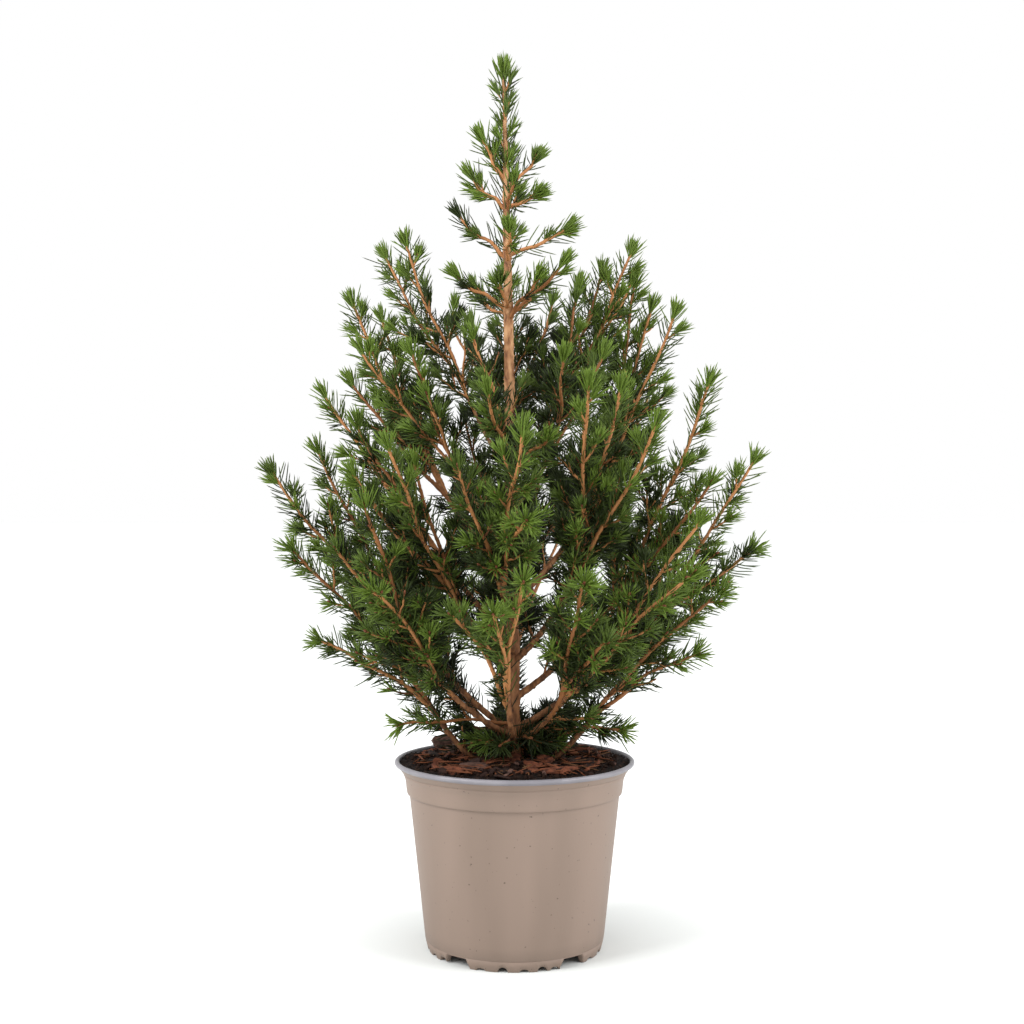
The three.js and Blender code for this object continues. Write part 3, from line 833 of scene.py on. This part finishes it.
def rough_tube(line, radius_at, sides, spacing, grain, seed, collector):
    """A limb with flaking bark: scales, ridges along it and small raised leaf scars."""
    along = steps_along(line)
    count = max(8, int(along[-1] / spacing))
    distance = np.linspace(0, along[-1], count)
    fine = points_along(line, along, distance)
    radii = np.zeros((count, sides))
    for i in range(count):
        base = radius_at(distance[i])
        for j in range(sides):
            turn = 2 * math.pi * j / sides
            x, y, z = math.cos(turn) * base, math.sin(turn) * base, distance[i]
            flakes = noise.noise(Vector((x * FLAKES[0], y * FLAKES[0], z * FLAKES[1] + seed)))
            ridges = noise.noise(Vector((x * RIDGES[0], y * RIDGES[0], z * RIDGES[1] + seed)))
            scars = noise.noise(Vector((x * SCARS[0], y * SCARS[0] + seed, z * SCARS[1])))
            radii[i, j] = base * (1 + grain * (0.8 * flakes + 0.5 * ridges))
            radii[i, j] += max(0.0, scars - SCAR_LEVEL) * SCAR_HEIGHT
    collector.add(*tube_arrays(fine, radii, sides))


def limb_heights():
    """Heights at which boughs and whorls leave the trunk, where its wood is swollen."""
    heights = []
    for node in names_with("bough_"):
        line, _ = bough_line(node)
        heights.append(line[0, 2])
    for node in names_with("foliage_whorl"):
        heights.append(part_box(node)[0].z + WHORL_FOOT)
    return np.array(heights)


# Corners round a limb, spacing of its rings and depth of its grain.
TRUNK_BARK = {"sides": 28, "spacing": 0.8 * MM, "grain": 0.13, "seed": 3.0}
BOUGH_BARK = {"sides": 12, "spacing": 1.1 * MM, "grain": 0.09}
SWELLING, SWELLING_HEIGHT = 0.16, 3.5 * MM  # of the trunk where a limb leaves
COLLAR, COLLAR_LENGTH = 0.25, 5 * MM  # of a bough at the trunk


def bark(boughs):
    """The trunk and its boughs, with a swelling wherever a limb leaves."""
    wood = Collector()
    joints = limb_heights()

    def trunk_at(distance):
        height = trunk_foot + distance
        swelling = np.exp(-(((height - joints) / SWELLING_HEIGHT) ** 2)).sum()
        return float(trunk_radius(height)) * (1 + SWELLING * min(swelling, 1.0))

    heights = np.linspace(trunk_foot, leader_end, 300)
    rough_tube(trunk_centre(heights), trunk_at, collector=wood, **TRUNK_BARK)
    for number, bough in enumerate(boughs):
        def bough_at(distance, bough=bough):
            collar = COLLAR * math.exp(-distance / COLLAR_LENGTH)
            return float(bough.radius(distance)) * (1 + collar)
        rough_tube(bough.line, bough_at, seed=11.0 + number, collector=wood, **BOUGH_BARK)
    return wood


# ---- Pot ------------------------------------------------------------------------------------

POT_COLUMNS = 600
FOOT_RADIUS, FOOT_INSIDE = 47.0, 44.4
FOOT_CHAMFER = 2.7  # height where the foot ring reaches its full width
UNDERSIDE, FLOOR_TOP = 7.2, 9.0  # of the pot's floor
NOTCH_SPACING = 70.25
NOTCH_BEARINGS = [309.5 + NOTCH_SPACING * i for i in range(5)]
NOTCH = {"height": 4.8, "top": 6.2, "foot": 8.2}  # the last two are half widths
# Arches in the foot ring after each notch: place along the ring from half way to the next, and
# height.
ARCH_HALF_WIDTH = 2.6
ARCHES = ((-14.4, 1.2), (-2.6, 2.5), (8.5, 1.5), (18.0, 2.4), (24.9, 1.5))
RIM_RADIUS, RIM_ROLL, POT_HEIGHT = 65.0, 1.3, 101.6
RIM_FROM, RIM_INSIDE = 98.7, 61.9  # the rim's own colour starts above and outside these


def foot_edge(bearing):
    """Height in mm of the foot ring's lower edge at a bearing: notches, with arches between."""
    edge = 0.0
    for middle in NOTCH_BEARINGS:
        turn = (bearing - middle + 180) % 360 - 180
        away = abs(math.radians(turn) * FOOT_RADIUS)
        slope = (NOTCH["foot"] - away) / (NOTCH["foot"] - NOTCH["top"])
        edge = max(edge, NOTCH["height"] * min(1.0, slope))
        for place, height in ARCHES:
            turn = (bearing - middle - NOTCH_SPACING / 2 + 180) % 360 - 180
            share = (math.radians(turn) * FOOT_RADIUS - place) / ARCH_HALF_WIDTH
            if abs(share) < 1:
                edge = max(edge, height * math.sqrt(1 - share * share))
    return edge


def rim_roll(first, last, step):
    """Points round the rolled rim from one angle to another, in degrees."""
    centre = (RIM_RADIUS - RIM_ROLL, POT_HEIGHT - RIM_ROLL)
    turns = [math.radians(a) for a in range(first, last + 1, step)]
    return [(centre[0] + RIM_ROLL * math.cos(a), centre[1] + RIM_ROLL * math.sin(a)) for a in turns]


def pot_outside():
    """The outline above the foot, (radius, height) in mm, up the outside and down the inside."""
    body = [(48.5 + (56.9 - 48.5) * i / 12, 6.3 + (83.0 - 6.3) * i / 12) for i in range(13)]
    step = [(56.97, 83.5), (57.3, 83.85), (57.9, 84.05), (58.25, 84.25), (58.4, 84.8)]
    collar = [(58.6, 86), (58.9, 89), (59.2, 91.2), (59.6, 92.6), (60.1, 93.8)]
    groove = [(60.45, 94.6), (60.3, 94.9), (60.35, 95.3), (60.95, 95.6)]
    flare = [(61.4, 96.2), (62.1, 97.1), (62.8, 98.0), (63.3, 98.6)]
    inside = [(62.1, 99.4), (61.3, 98.2), (60.4, 96.6), (59.2, 94.2), (58.2, 92.0)]
    inside += [(57.0, 84.8), (55.7, 82.0), (55.4, 80.5), (47.2, 9.6), (46.6, FLOOR_TOP)]
    foot_line = [(48.3, 5.4), (48.05, 5.6), (48.1, 5.8)]
    return foot_line + body + step + collar + groove + flare + rim_roll(-70, 190, 20) + inside


def pot_mesh():
    """The pot as one skin: underside, notched foot ring, outside, rolled rim and inside."""
    bearings = 360 * np.arange(POT_COLUMNS) / POT_COLUMNS
    edge = np.array([foot_edge(b) for b in bearings])
    flat = np.ones(POT_COLUMNS)
    rows = [(FOOT_INSIDE * flat, UNDERSIDE * flat), (FOOT_INSIDE * flat, edge + 0.15)]
    rows += [((FOOT_INSIDE + 0.2) * flat, edge), ((FOOT_RADIUS - 0.2) * flat, edge)]
    rows.append((FOOT_RADIUS * flat, edge + 0.25))
    rows.append(((FOOT_RADIUS + 0.65) * flat, np.maximum(FOOT_CHAMFER, edge + 0.3)))
    rows += [(radius * flat, height * flat) for radius, height in pot_outside()]
    turn = np.radians(bearings)
    corners = [np.stack([r * np.cos(turn), r * np.sin(turn), z], -1) for r, z in rows]
    corners.append(np.array([[0, 0, UNDERSIDE], [0, 0, FLOOR_TOP]]))
    return np.concatenate(corners) * MM, *loft_faces(len(rows), POT_COLUMNS)


def pot_piece():
    piece = mesh_piece("pot_shell", *pot_mesh())
    piece.data.materials.append(pot_material())
    piece.data.materials.append(rim_material())
    middles = np.array([face.center for face in piece.data.polygons])
    reach = np.hypot(middles[:, 0], middles[:, 1])
    on_rim = (middles[:, 2] > RIM_FROM * MM) & (reach > RIM_INSIDE * MM)
    piece.data.polygons.foreach_set("material_index", on_rim.astype(np.int32))
    return piece


# ---- Compost and mulch ----------------------------------------------------------------------

SOIL_EDGE, SOIL_MIDDLE, SOIL_RADIUS = 100.2 * MM, 101.6 * MM, 62.0 * MM
SOIL_SKIRT = ((57.6 * MM, 91 * MM), (47 * MM, 9.3 * MM))  # radius and height, down to the base
SOIL_RINGS, SOIL_COLUMNS = 90, 220
MOUND_RADIUS, MOUND = 60 * MM, 1.6  # above 1, the mound is level round the trunk
# Lumps, crumbs and grains of the surface: scale per metre, layer of the noise, and height in mm.
SOIL_NOISE = ((90, 1.0, 1.6), (420, 2.0, 0.9), (1200, 5.0, 0.45))


def soil_height(x, y):
    """The compost's surface: level round the trunk, lower near the wall, and lumpy."""
    reach = min(1.0, math.hypot(x, y) / MOUND_RADIUS)
    mound = min(1.0, MOUND * math.cos(math.pi / 2 * reach))
    height = SOIL_EDGE + (SOIL_MIDDLE - SOIL_EDGE) * mound
    for scale, layer, depth in SOIL_NOISE:
        height += noise.noise(Vector((x * scale, y * scale, layer))) * depth * MM
    return height


def compost_mesh():
    """The lumpy surface, closed below by a skirt along the wall and a flat base."""
    rings = [(SOIL_RADIUS * (0.02 + 0.98 * i / SOIL_RINGS), None) for i in range(SOIL_RINGS + 1)]
    rings += SOIL_SKIRT
    corners = []
    for reach, height in rings:
        for j in range(SOIL_COLUMNS):
            turn = 2 * math.pi * j / SOIL_COLUMNS
            x, y = reach * math.cos(turn), reach * math.sin(turn)
            corners.append((x, y, soil_height(x, y) if height is None else height))
    corners += [(0, 0, soil_height(0, 0)), (0, 0, SOIL_SKIRT[-1][1])]
    quads, tris = loft_faces(len(rings), SOIL_COLUMNS)
    return np.array(corners), quads[:, [0, 3, 2, 1]], tris[:, [1, 0, 2]]


def turned(points, yaw, pitch, roll):
    """Points turned about x by roll, about y by pitch and then about z by yaw."""
    cr, sr, cp, sp, cy, sy = (f(a) for a in (roll, pitch, yaw) for f in (math.cos, math.sin))
    about_x = np.array([[1, 0, 0], [0, cr, -sr], [0, sr, cr]])
    about_y = np.array([[cp, 0, sp], [0, 1, 0], [-sp, 0, cp]])
    about_z = np.array([[cy, -sy, 0], [sy, cy, 0], [0, 0, 1]])
    return points @ (about_z @ about_y @ about_x).T


CHIP_CORNERS = 14
# The rings of a chip, from its underside up: height and width, as shares of its own.
CHIP_LAYERS = ((-0.5, 0.8), (-0.5, 0.93), (-0.15, 1.0), (0.2, 0.96), (0.5, 0.9), (0.42, 0.5))


def bark_chip(place, length, width, thick, angles, rng):
    """A flat, splintered piece of pine bark: an angular slab, flaking at its edge."""
    turn = np.sort(rng.uniform(0, 2 * math.pi, CHIP_CORNERS))
    jag = rng.uniform(0.78, 1.08, CHIP_CORNERS)
    outline = np.stack([np.cos(turn) * length / 2, np.sin(turn) * width / 2], -1) * jag[:, None]
    squared = np.array([(length / 2) ** 0.1, (width / 2) ** 0.1])
    outline = np.sign(outline) * np.abs(outline) ** 0.9 * squared
    rings = []
    for height, share in CHIP_LAYERS:
        bumps = rng.normal(0, 0.10 * thick, CHIP_CORNERS)
        sag = 0.12 * width * ((outline[:, 1] * share / (width / 2)) ** 2)
        z = height * thick + bumps - sag
        ragged = rng.uniform(0.96, 1.04, (CHIP_CORNERS, 1))
        rings.append(np.column_stack([outline * share * ragged, z]))
    ends = np.array([[0, 0, -0.5 * thick], [0, 0, 0.45 * thick]])
    points = turned(np.concatenate(rings + [ends]), *angles) + place
    return points, *loft_faces(len(rings), CHIP_CORNERS)


# The largest chips, in mm and degrees: x, y, height above the compost, length, width, thickness,
# yaw, pitch, roll, and the tone they belong to.
LARGE_CHIPS = [
    (-41, 33, 4.2, 13, 10, 1.8, 20, -14, 55, 1),
    (-2, -16, 3.2, 13, 10, 1.6, -35, 10, 42, 0),
    (-21, -31, 1.6, 16, 13, 1.6, 8, 2, 14, 1),
    (8, -33, 2.2, 13, 9, 1.4, -12, -6, 24, 0),
    (21, -43, 2.2, 25, 6, 1.3, 8, -3, 18, 0),
    (16, -20, 2.0, 12, 7, 1.5, -50, 8, 26, 0),
    (-32, -38, 1.6, 14, 8, 1.4, -30, 3, 16, 0),
    (-6, -42, 1.4, 14, 8, 1.3, 25, 2, 14, 2),
    (33, -16, 1.8, 13, 8, 1.6, 40, 4, 14, 2),
    (36, 16, 2.2, 12, 8, 1.6, -20, -6, 24, 0),
    (-16, 40, 2.2, 14, 9, 1.6, 60, 6, 16, 2),
    (16, 38, 2.0, 15, 9, 1.7, -70, 4, 12, 0),
    (-44, 6, 1.8, 12, 7, 1.4, 110, -4, 12, 2),
]
CHIP_TONES = [
    ("red", (0.030, 0.008, 0.004), (0.158, 0.048, 0.022)),
    ("grey", (0.026, 0.012, 0.009), (0.112, 0.058, 0.043)),
    ("dark", (0.007, 0.003, 0.002), (0.029, 0.0105, 0.006)),
]


SMALL_CHIPS, SMALL_CHIP_SHARES = 150, (0.3, 0.15, 0.55)
SPLINTERS, CRUMBS, SHED_NEEDLES = 150, 1100, 150


def on_compost(rng, widest=55 * MM, trunk_clear=7 * MM):
    """A place on the compost, spread evenly over its area."""
    reach = math.sqrt(rng.uniform((trunk_clear / widest) ** 2, 1)) * widest
    turn = rng.uniform(0, 2 * math.pi)
    x, y = reach * math.cos(turn), reach * math.sin(turn)
    return x, y, soil_height(x, y)


def mulch():
    """Bark chips on the compost, joined by tone."""
    rng = seeded("mulch")
    chips = [Collector() for _ in CHIP_TONES]
    for x, y, above, length, width, thick, yaw, pitch, roll, tone in LARGE_CHIPS:
        place = np.array([x * MM, y * MM, soil_height(x * MM, y * MM) + above * MM])
        angles = [math.radians(a) for a in (yaw, pitch, roll)]
        chips[tone].add(*bark_chip(place, length * MM, width * MM, thick * MM, angles, rng))
    for _ in range(SMALL_CHIPS):
        x, y, z = on_compost(rng)
        length = rng.uniform(4, 12) * MM
        width = length * rng.uniform(0.3, 0.65)
        thick = rng.uniform(0.8, 1.7) * MM
        angles = (rng.uniform(0, 2 * math.pi), rng.normal(0, 0.32), rng.normal(0, 0.36))
        place = np.array([x, y, z + rng.uniform(0.3, 1.6) * MM])
        tone = int(rng.choice(3, p=SMALL_CHIP_SHARES))
        chips[tone].add(*bark_chip(place, length, width, thick, angles, rng))
    return chips


def splinters():
    """Long thin strips and fibres of bark lying over the compost."""
    rng = seeded("splinters")
    joined = Collector()
    for _ in range(SPLINTERS):
        x, y, z = on_compost(rng, 54 * MM)
        length = rng.uniform(6, 24) * MM
        thick = rng.uniform(0.22, 0.62) * MM
        turn, slope = rng.uniform(0, 2 * math.pi), rng.normal(0.04, 0.12)
        t = np.linspace(-0.5, 0.5, 6)
        bow = rng.normal(0, 0.09) * length * (t**2)
        line = np.stack([t * length, bow, slope * t * length], -1)
        line = turned(line, turn, 0, 0) + [x, y, z + rng.uniform(0.6, 2.6) * MM]
        inside = np.hypot(line[:, 0], line[:, 1]) < 60 * MM
        if not inside.all():
            continue
        outline = np.array([0.4, 0.9, 1, 1, 0.8, 0.3])[:, None]
        joined.add(*tube_arrays(line, thick * outline * rng.uniform(0.6, 1.2, (6, 5)), 5))
    return joined


def crumbs():
    """Loose crumbs of compost."""
    rng = seeded("crumbs")
    joined = Collector()
    for _ in range(CRUMBS):
        x, y, z = on_compost(rng, 56 * MM, 5 * MM)
        size = rng.uniform(0.5, 1.6) * MM
        line = np.array([[0, 0, -0.8], [0, 0, -0.3], [0, 0, 0.35], [0, 0, 0.8]]) * size
        line = turned(line, *rng.uniform(0, math.pi, 3)) + [x, y, z + 0.35 * size]
        outline = np.array([0.45, 0.95, 0.9, 0.4])[:, None]
        joined.add(*tube_arrays(line, outline * size * rng.uniform(0.6, 1.2, (4, 5)), 5))
    return joined


def fallen_needles():
    """Dry needles shed on the compost."""
    rng = seeded("shed")
    foot = np.array([on_compost(rng, 50 * MM) for _ in range(SHED_NEEDLES)])
    foot[:, 2] += rng.uniform(0.6, 2.2, SHED_NEEDLES) * MM
    turn = rng.uniform(0, 2 * math.pi, SHED_NEEDLES)
    slope = rng.normal(0, 0.12, SHED_NEEDLES)
    direction = unit(np.stack([np.cos(turn), np.sin(turn), slope], -1))
    length = rng.uniform(5.5, 10, SHED_NEEDLES) * MM
    bend = rng.normal(0, 0.15, (SHED_NEEDLES, 3)) * [1, 1, 0.2]
    return foot, direction, length, bend


# ---- Materials ------------------------------------------------------------------------------


def new_material(name, roughness, specular=0.4):
    material = bpy.data.materials.new(name)
    material.use_nodes = True
    shader = material.node_tree.nodes["Principled BSDF"]
    shader.inputs["Roughness"].default_value = roughness
    shader.inputs["Specular IOR Level"].default_value = specular
    return material, material.node_tree, shader


def noise_pattern(tree, scale, squash=(1, 1, 1), detail=6.0):
    """A noise pattern in the object's own space, in metres."""
    place = tree.nodes.new("ShaderNodeTexCoord")
    mapping = tree.nodes.new("ShaderNodeMapping")
    mapping.inputs["Scale"].default_value = squash
    pattern = tree.nodes.new("ShaderNodeTexNoise")
    pattern.inputs["Scale"].default_value = scale
    pattern.inputs["Detail"].default_value = detail
    tree.links.new(place.outputs["Object"], mapping.inputs["Vector"])
    tree.links.new(mapping.outputs["Vector"], pattern.inputs["Vector"])
    return pattern


def colour_ramp(tree, pattern, stops):
    ramp = tree.nodes.new("ShaderNodeValToRGB")
    while len(ramp.color_ramp.elements) < len(stops):
        ramp.color_ramp.elements.new(0.5)
    for element, (position, colour) in zip(ramp.color_ramp.elements, stops):
        element.position = position
        element.color = (*colour, 1)
    tree.links.new(pattern.outputs["Fac"], ramp.inputs["Fac"])
    return ramp


def add_bump(tree, shader, pattern, strength, distance):
    bump = tree.nodes.new("ShaderNodeBump")
    bump.inputs["Strength"].default_value = strength
    bump.inputs["Distance"].default_value = distance
    tree.links.new(pattern.outputs["Fac"], bump.inputs["Height"])
    tree.links.new(bump.outputs["Normal"], shader.inputs["Normal"])


def plain_colour(name, colour, roughness, specular=0.4):
    """A material of one base colour, for kinds whose colours are dealt out by piece."""
    material, _, shader = new_material(name, roughness, specular)
    shader.inputs["Base Color"].default_value = (*colour, 1)
    return material


def patterned(name, roughness, scale, stops, grain, bump, squash=(1, 1, 1), specular=0.35):
    """A material with a noise-mixed colour and a finer grain in its relief."""
    material, tree, shader = new_material(name, roughness, specular)
    ramp = colour_ramp(tree, noise_pattern(tree, scale, squash), stops)
    tree.links.new(ramp.outputs["Color"], shader.inputs["Base Color"])
    add_bump(tree, shader, noise_pattern(tree, grain, squash), bump, 0.4 * MM)
    return material


def height_share(tree, low, high):
    """0 below one height and 1 above another."""
    place = tree.nodes.new("ShaderNodeTexCoord")
    split = tree.nodes.new("ShaderNodeSeparateXYZ")
    share = tree.nodes.new("ShaderNodeMapRange")
    share.inputs["From Min"].default_value = low
    share.inputs["From Max"].default_value = high
    tree.links.new(place.outputs["Object"], split.inputs["Vector"])
    tree.links.new(split.outputs["Z"], share.inputs["Value"])
    return share.outputs["Result"]


OLD_BARK = (
    (0.30, (0.060, 0.026, 0.013)), (0.45, (0.172, 0.070, 0.027)), (0.66, (0.335, 0.148, 0.060)),
)
YOUNG_BARK = (
    (0.34, (0.120, 0.045, 0.018)), (0.45, (0.290, 0.135, 0.056)), (0.63, (0.480, 0.265, 0.130)),
)


def bark_material():
    """Bark: brown and rough low down, paler and orange on the younger wood above."""
    material, tree, shader = new_material("bark", 0.75, 0.35)
    pattern = noise_pattern(tree, 330, (1, 1, 0.4))
    mix = tree.nodes.new("ShaderNodeMix")
    mix.data_type = "RGBA"
    tree.links.new(height_share(tree, 190 * MM, 300 * MM), mix.inputs["Factor"])
    tree.links.new(colour_ramp(tree, pattern, OLD_BARK).outputs["Color"], mix.inputs["A"])
    tree.links.new(colour_ramp(tree, pattern, YOUNG_BARK).outputs["Color"], mix.inputs["B"])
    tree.links.new(mix.outputs["Result"], shader.inputs["Base Color"])
    add_bump(tree, shader, noise_pattern(tree, 1000, (1, 1, 0.4)), 0.8, 0.5 * MM)
    return material


def mix_over(tree, below, pattern, low, high, colour):
    """Lays a colour over another where a pattern is high."""
    ramp = colour_ramp(tree, pattern, [(low, (0, 0, 0)), (high, (1, 1, 1))])
    mix = tree.nodes.new("ShaderNodeMix")
    mix.data_type = "RGBA"
    mix.inputs["B"].default_value = (*colour, 1)
    tree.links.new(ramp.outputs["Color"], mix.inputs["Factor"])
    tree.links.new(below, mix.inputs["A"])
    return mix.outputs["Result"]


def pot_material():
    """Recycled taupe plastic: faint upright flow bands, and sparse dark specks."""
    material, tree, shader = new_material("pot_plastic", 0.52, 0.4)
    bands = noise_pattern(tree, 34, (1, 1, 0.12), 2.0)
    stops = [(0.35, (0.194, 0.140, 0.109)), (0.65, (0.224, 0.162, 0.128))]
    ramp = colour_ramp(tree, bands, stops)
    colour = ramp.outputs["Color"]
    specks = noise_pattern(tree, 520, detail=1.0)
    colour = mix_over(tree, colour, specks, 0.735, 0.80, (0.080, 0.055, 0.042))
    tree.links.new(colour, shader.inputs["Base Color"])
    add_bump(tree, shader, noise_pattern(tree, 900, (1, 1, 0.5), 3.0), 0.12, 0.3 * MM)
    return material


def rim_material():
    """The rim's top is a cooler grey."""
    stops = [(0.35, (0.172, 0.164, 0.182)), (0.65, (0.226, 0.214, 0.234))]
    return patterned("rim_plastic", 0.38, 70, stops, 700, 0.08)


def compost_material():
    stops = [(0.38, (0.003, 0.0018, 0.0015)), (0.55, (0.011, 0.0055, 0.0036))]
    stops.append((0.72, (0.042, 0.019, 0.011)))
    return patterned("compost", 0.95, 520, stops, 1500, 0.9, specular=0.15)


def chip_material(name, dark, light):
    stops = [(0.35, dark), (0.62, light)]
    return patterned("bark_chip_" + name, 0.85, 260, stops, 900, 0.8, (1, 1, 2.2), 0.25)


# ---- Building -------------------------------------------------------------------------------


def dress(piece, material, slot, *nodes):
    """Gives a piece its material, in place of some nodes, and lets it ride the plant; the slot is
    not used.
    """
    if material:
        piece.data.materials.append(material)
    if nodes:
        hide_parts(*nodes)
    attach(piece, "root")


stems = grow_plant()
foliage_nodes = names_with("foliage_")

wood = bark([stem for stem in stems if stem.kind == "bough"]).piece("trunk_and_bough_bark")
dress(wood, bark_material(), "bark", "trunk", *names_with("bough_"))
for (tone, colour), wood in zip(WOOD_TONES, shoot_wood(stems)):
    material = plain_colour("shoot_wood_" + tone, colour, 0.62, 0.3)
    dress(wood.piece("shoot_wood_" + tone), material, "bark", *foliage_nodes)
bud_colour = plain_colour("buds", (0.17, 0.060, 0.028), 0.6, 0.25)
dress(buds(stems).piece("buds"), bud_colour, "bark", *foliage_nodes)

for (tone, fine), rows in sorted(all_needles(stems).items()):
    name, colour = TONES[tone]
    rings = FINE_RINGS if fine else PLAIN_RINGS
    per_needle = 6 * (len(rings) - 1) + 3
    material = plain_colour("needles_" + name, colour, 0.50, 0.18)
    total = len(rows[0])
    parts = math.ceil(total * per_needle / PIECE_TRIANGLES)
    for part in range(parts):
        chosen = slice(part * total // parts, (part + 1) * total // parts)
        arrays = needle_arrays(*[row[chosen] for row in rows], rings)
        piece = mesh_piece(f"needles_{name}_{'outer' if fine else 'inner'}_{part + 1}", *arrays)
        dress(piece, material, "fresh_foliage" if tone < 2 else "foliage", *foliage_nodes)

dress(pot_piece(), None, "pot_plastic", "pot")
dress(mesh_piece("compost", *compost_mesh()), compost_material(), "potting_soil", "soil")
for (name, dark, light), chips in zip(CHIP_TONES, mulch()):
    piece = chips.piece("bark_chips_" + name, smooth=False)
    dress(piece, chip_material(name, dark, light), "potting_soil")
splinter_colour = plain_colour("splinters", (0.130, 0.044, 0.020), 0.85, 0.15)
dress(splinters().piece("bark_splinters"), splinter_colour, "potting_soil")
crumb_colour = plain_colour("crumbs", (0.016, 0.008, 0.0055), 0.95, 0.1)
dress(crumbs().piece("compost_crumbs", smooth=False), crumb_colour, "potting_soil")
shed = mesh_piece("fallen_needles", *needle_arrays(*fallen_needles(), FINE_RINGS))
dress(shed, plain_colour("dry_needles", (0.110, 0.052, 0.022), 0.7, 0.2), "potting_soil")

# ---- Stage ----------------------------------------------------------------------------------

FLOOR_SIZE = 30.0
SQUARE = ((-1, -1), (1, -1), (1, 1), (-1, 1))
FLOOR_CORNERS = [(x * FLOOR_SIZE, y * FLOOR_SIZE, 0) for x, y in SQUARE]
FLOOR_COLOUR = (0.665, 0.685, 0.675)
FLOOR_GLOW = 0.34  # makes up what the floor lacks of the backdrop's white
GLOW_FROM, GLOW_FULL = 0.055, 0.15  # distance from the pot's middle


def floor_material():
    """White, glowing a little away from the pot, so that only the pot's own shadow shows."""
    material, tree, shader = new_material("pale_floor", 0.9, 0.1)
    shader.inputs["Base Color"].default_value = (*FLOOR_COLOUR, 1)
    shader.inputs["Emission Color"].default_value = (1, 1, 1, 1)
    place = tree.nodes.new("ShaderNodeTexCoord")
    reach = tree.nodes.new("ShaderNodeVectorMath")
    reach.operation = "LENGTH"
    glow = tree.nodes.new("ShaderNodeMapRange")
    glow.inputs["From Min"].default_value = GLOW_FROM
    glow.inputs["From Max"].default_value = GLOW_FULL
    glow.inputs["To Max"].default_value = FLOOR_GLOW
    tree.links.new(place.outputs["Object"], reach.inputs[0])
    tree.links.new(reach.outputs["Value"], glow.inputs["Value"])
    tree.links.new(glow.outputs["Result"], shader.inputs["Emission Strength"])
    return material


floor = mesh_piece("floor", FLOOR_CORNERS, [[0, 1, 2, 3]], [])
floor.data.materials.append(floor_material())

world = bpy.data.worlds.new("studio")
bpy.context.scene.world = world
world.use_nodes = True
world.node_tree.nodes["Background"].inputs["Color"].default_value = (1, 1, 1, 1)
world.node_tree.nodes["Background"].inputs["Strength"].default_value = 1.0


LIGHT_SIZE = 0.9
LIGHTS_AIM = Vector((0, 0, 0.26))


def area_light(name, place, energy):
    data = bpy.data.lights.new(name, "AREA")
    data.size = LIGHT_SIZE
    data.energy = energy
    light = bpy.data.objects.new(name, data)
    light.location = place
    aim = LIGHTS_AIM - Vector(place)
    light.rotation_euler = aim.to_track_quat("-Z", "Y").to_euler()
    bpy.context.scene.collection.objects.link(light)


area_light("key", (-1.35, -0.75, 1.25), 34)
area_light("fill", (1.4, -0.6, 1.0), 23)

camera_data = bpy.data.cameras.new("camera")
camera_data.lens = 50
camera_data.sensor_width = 36
camera = bpy.data.objects.new("camera", camera_data)
camera.location = EYE
camera.rotation_euler = (math.radians(90), 0, 0)
bpy.context.scene.collection.objects.link(camera)
bpy.context.scene.camera = camera
bpy.context.scene.view_settings.view_transform = "Standard"
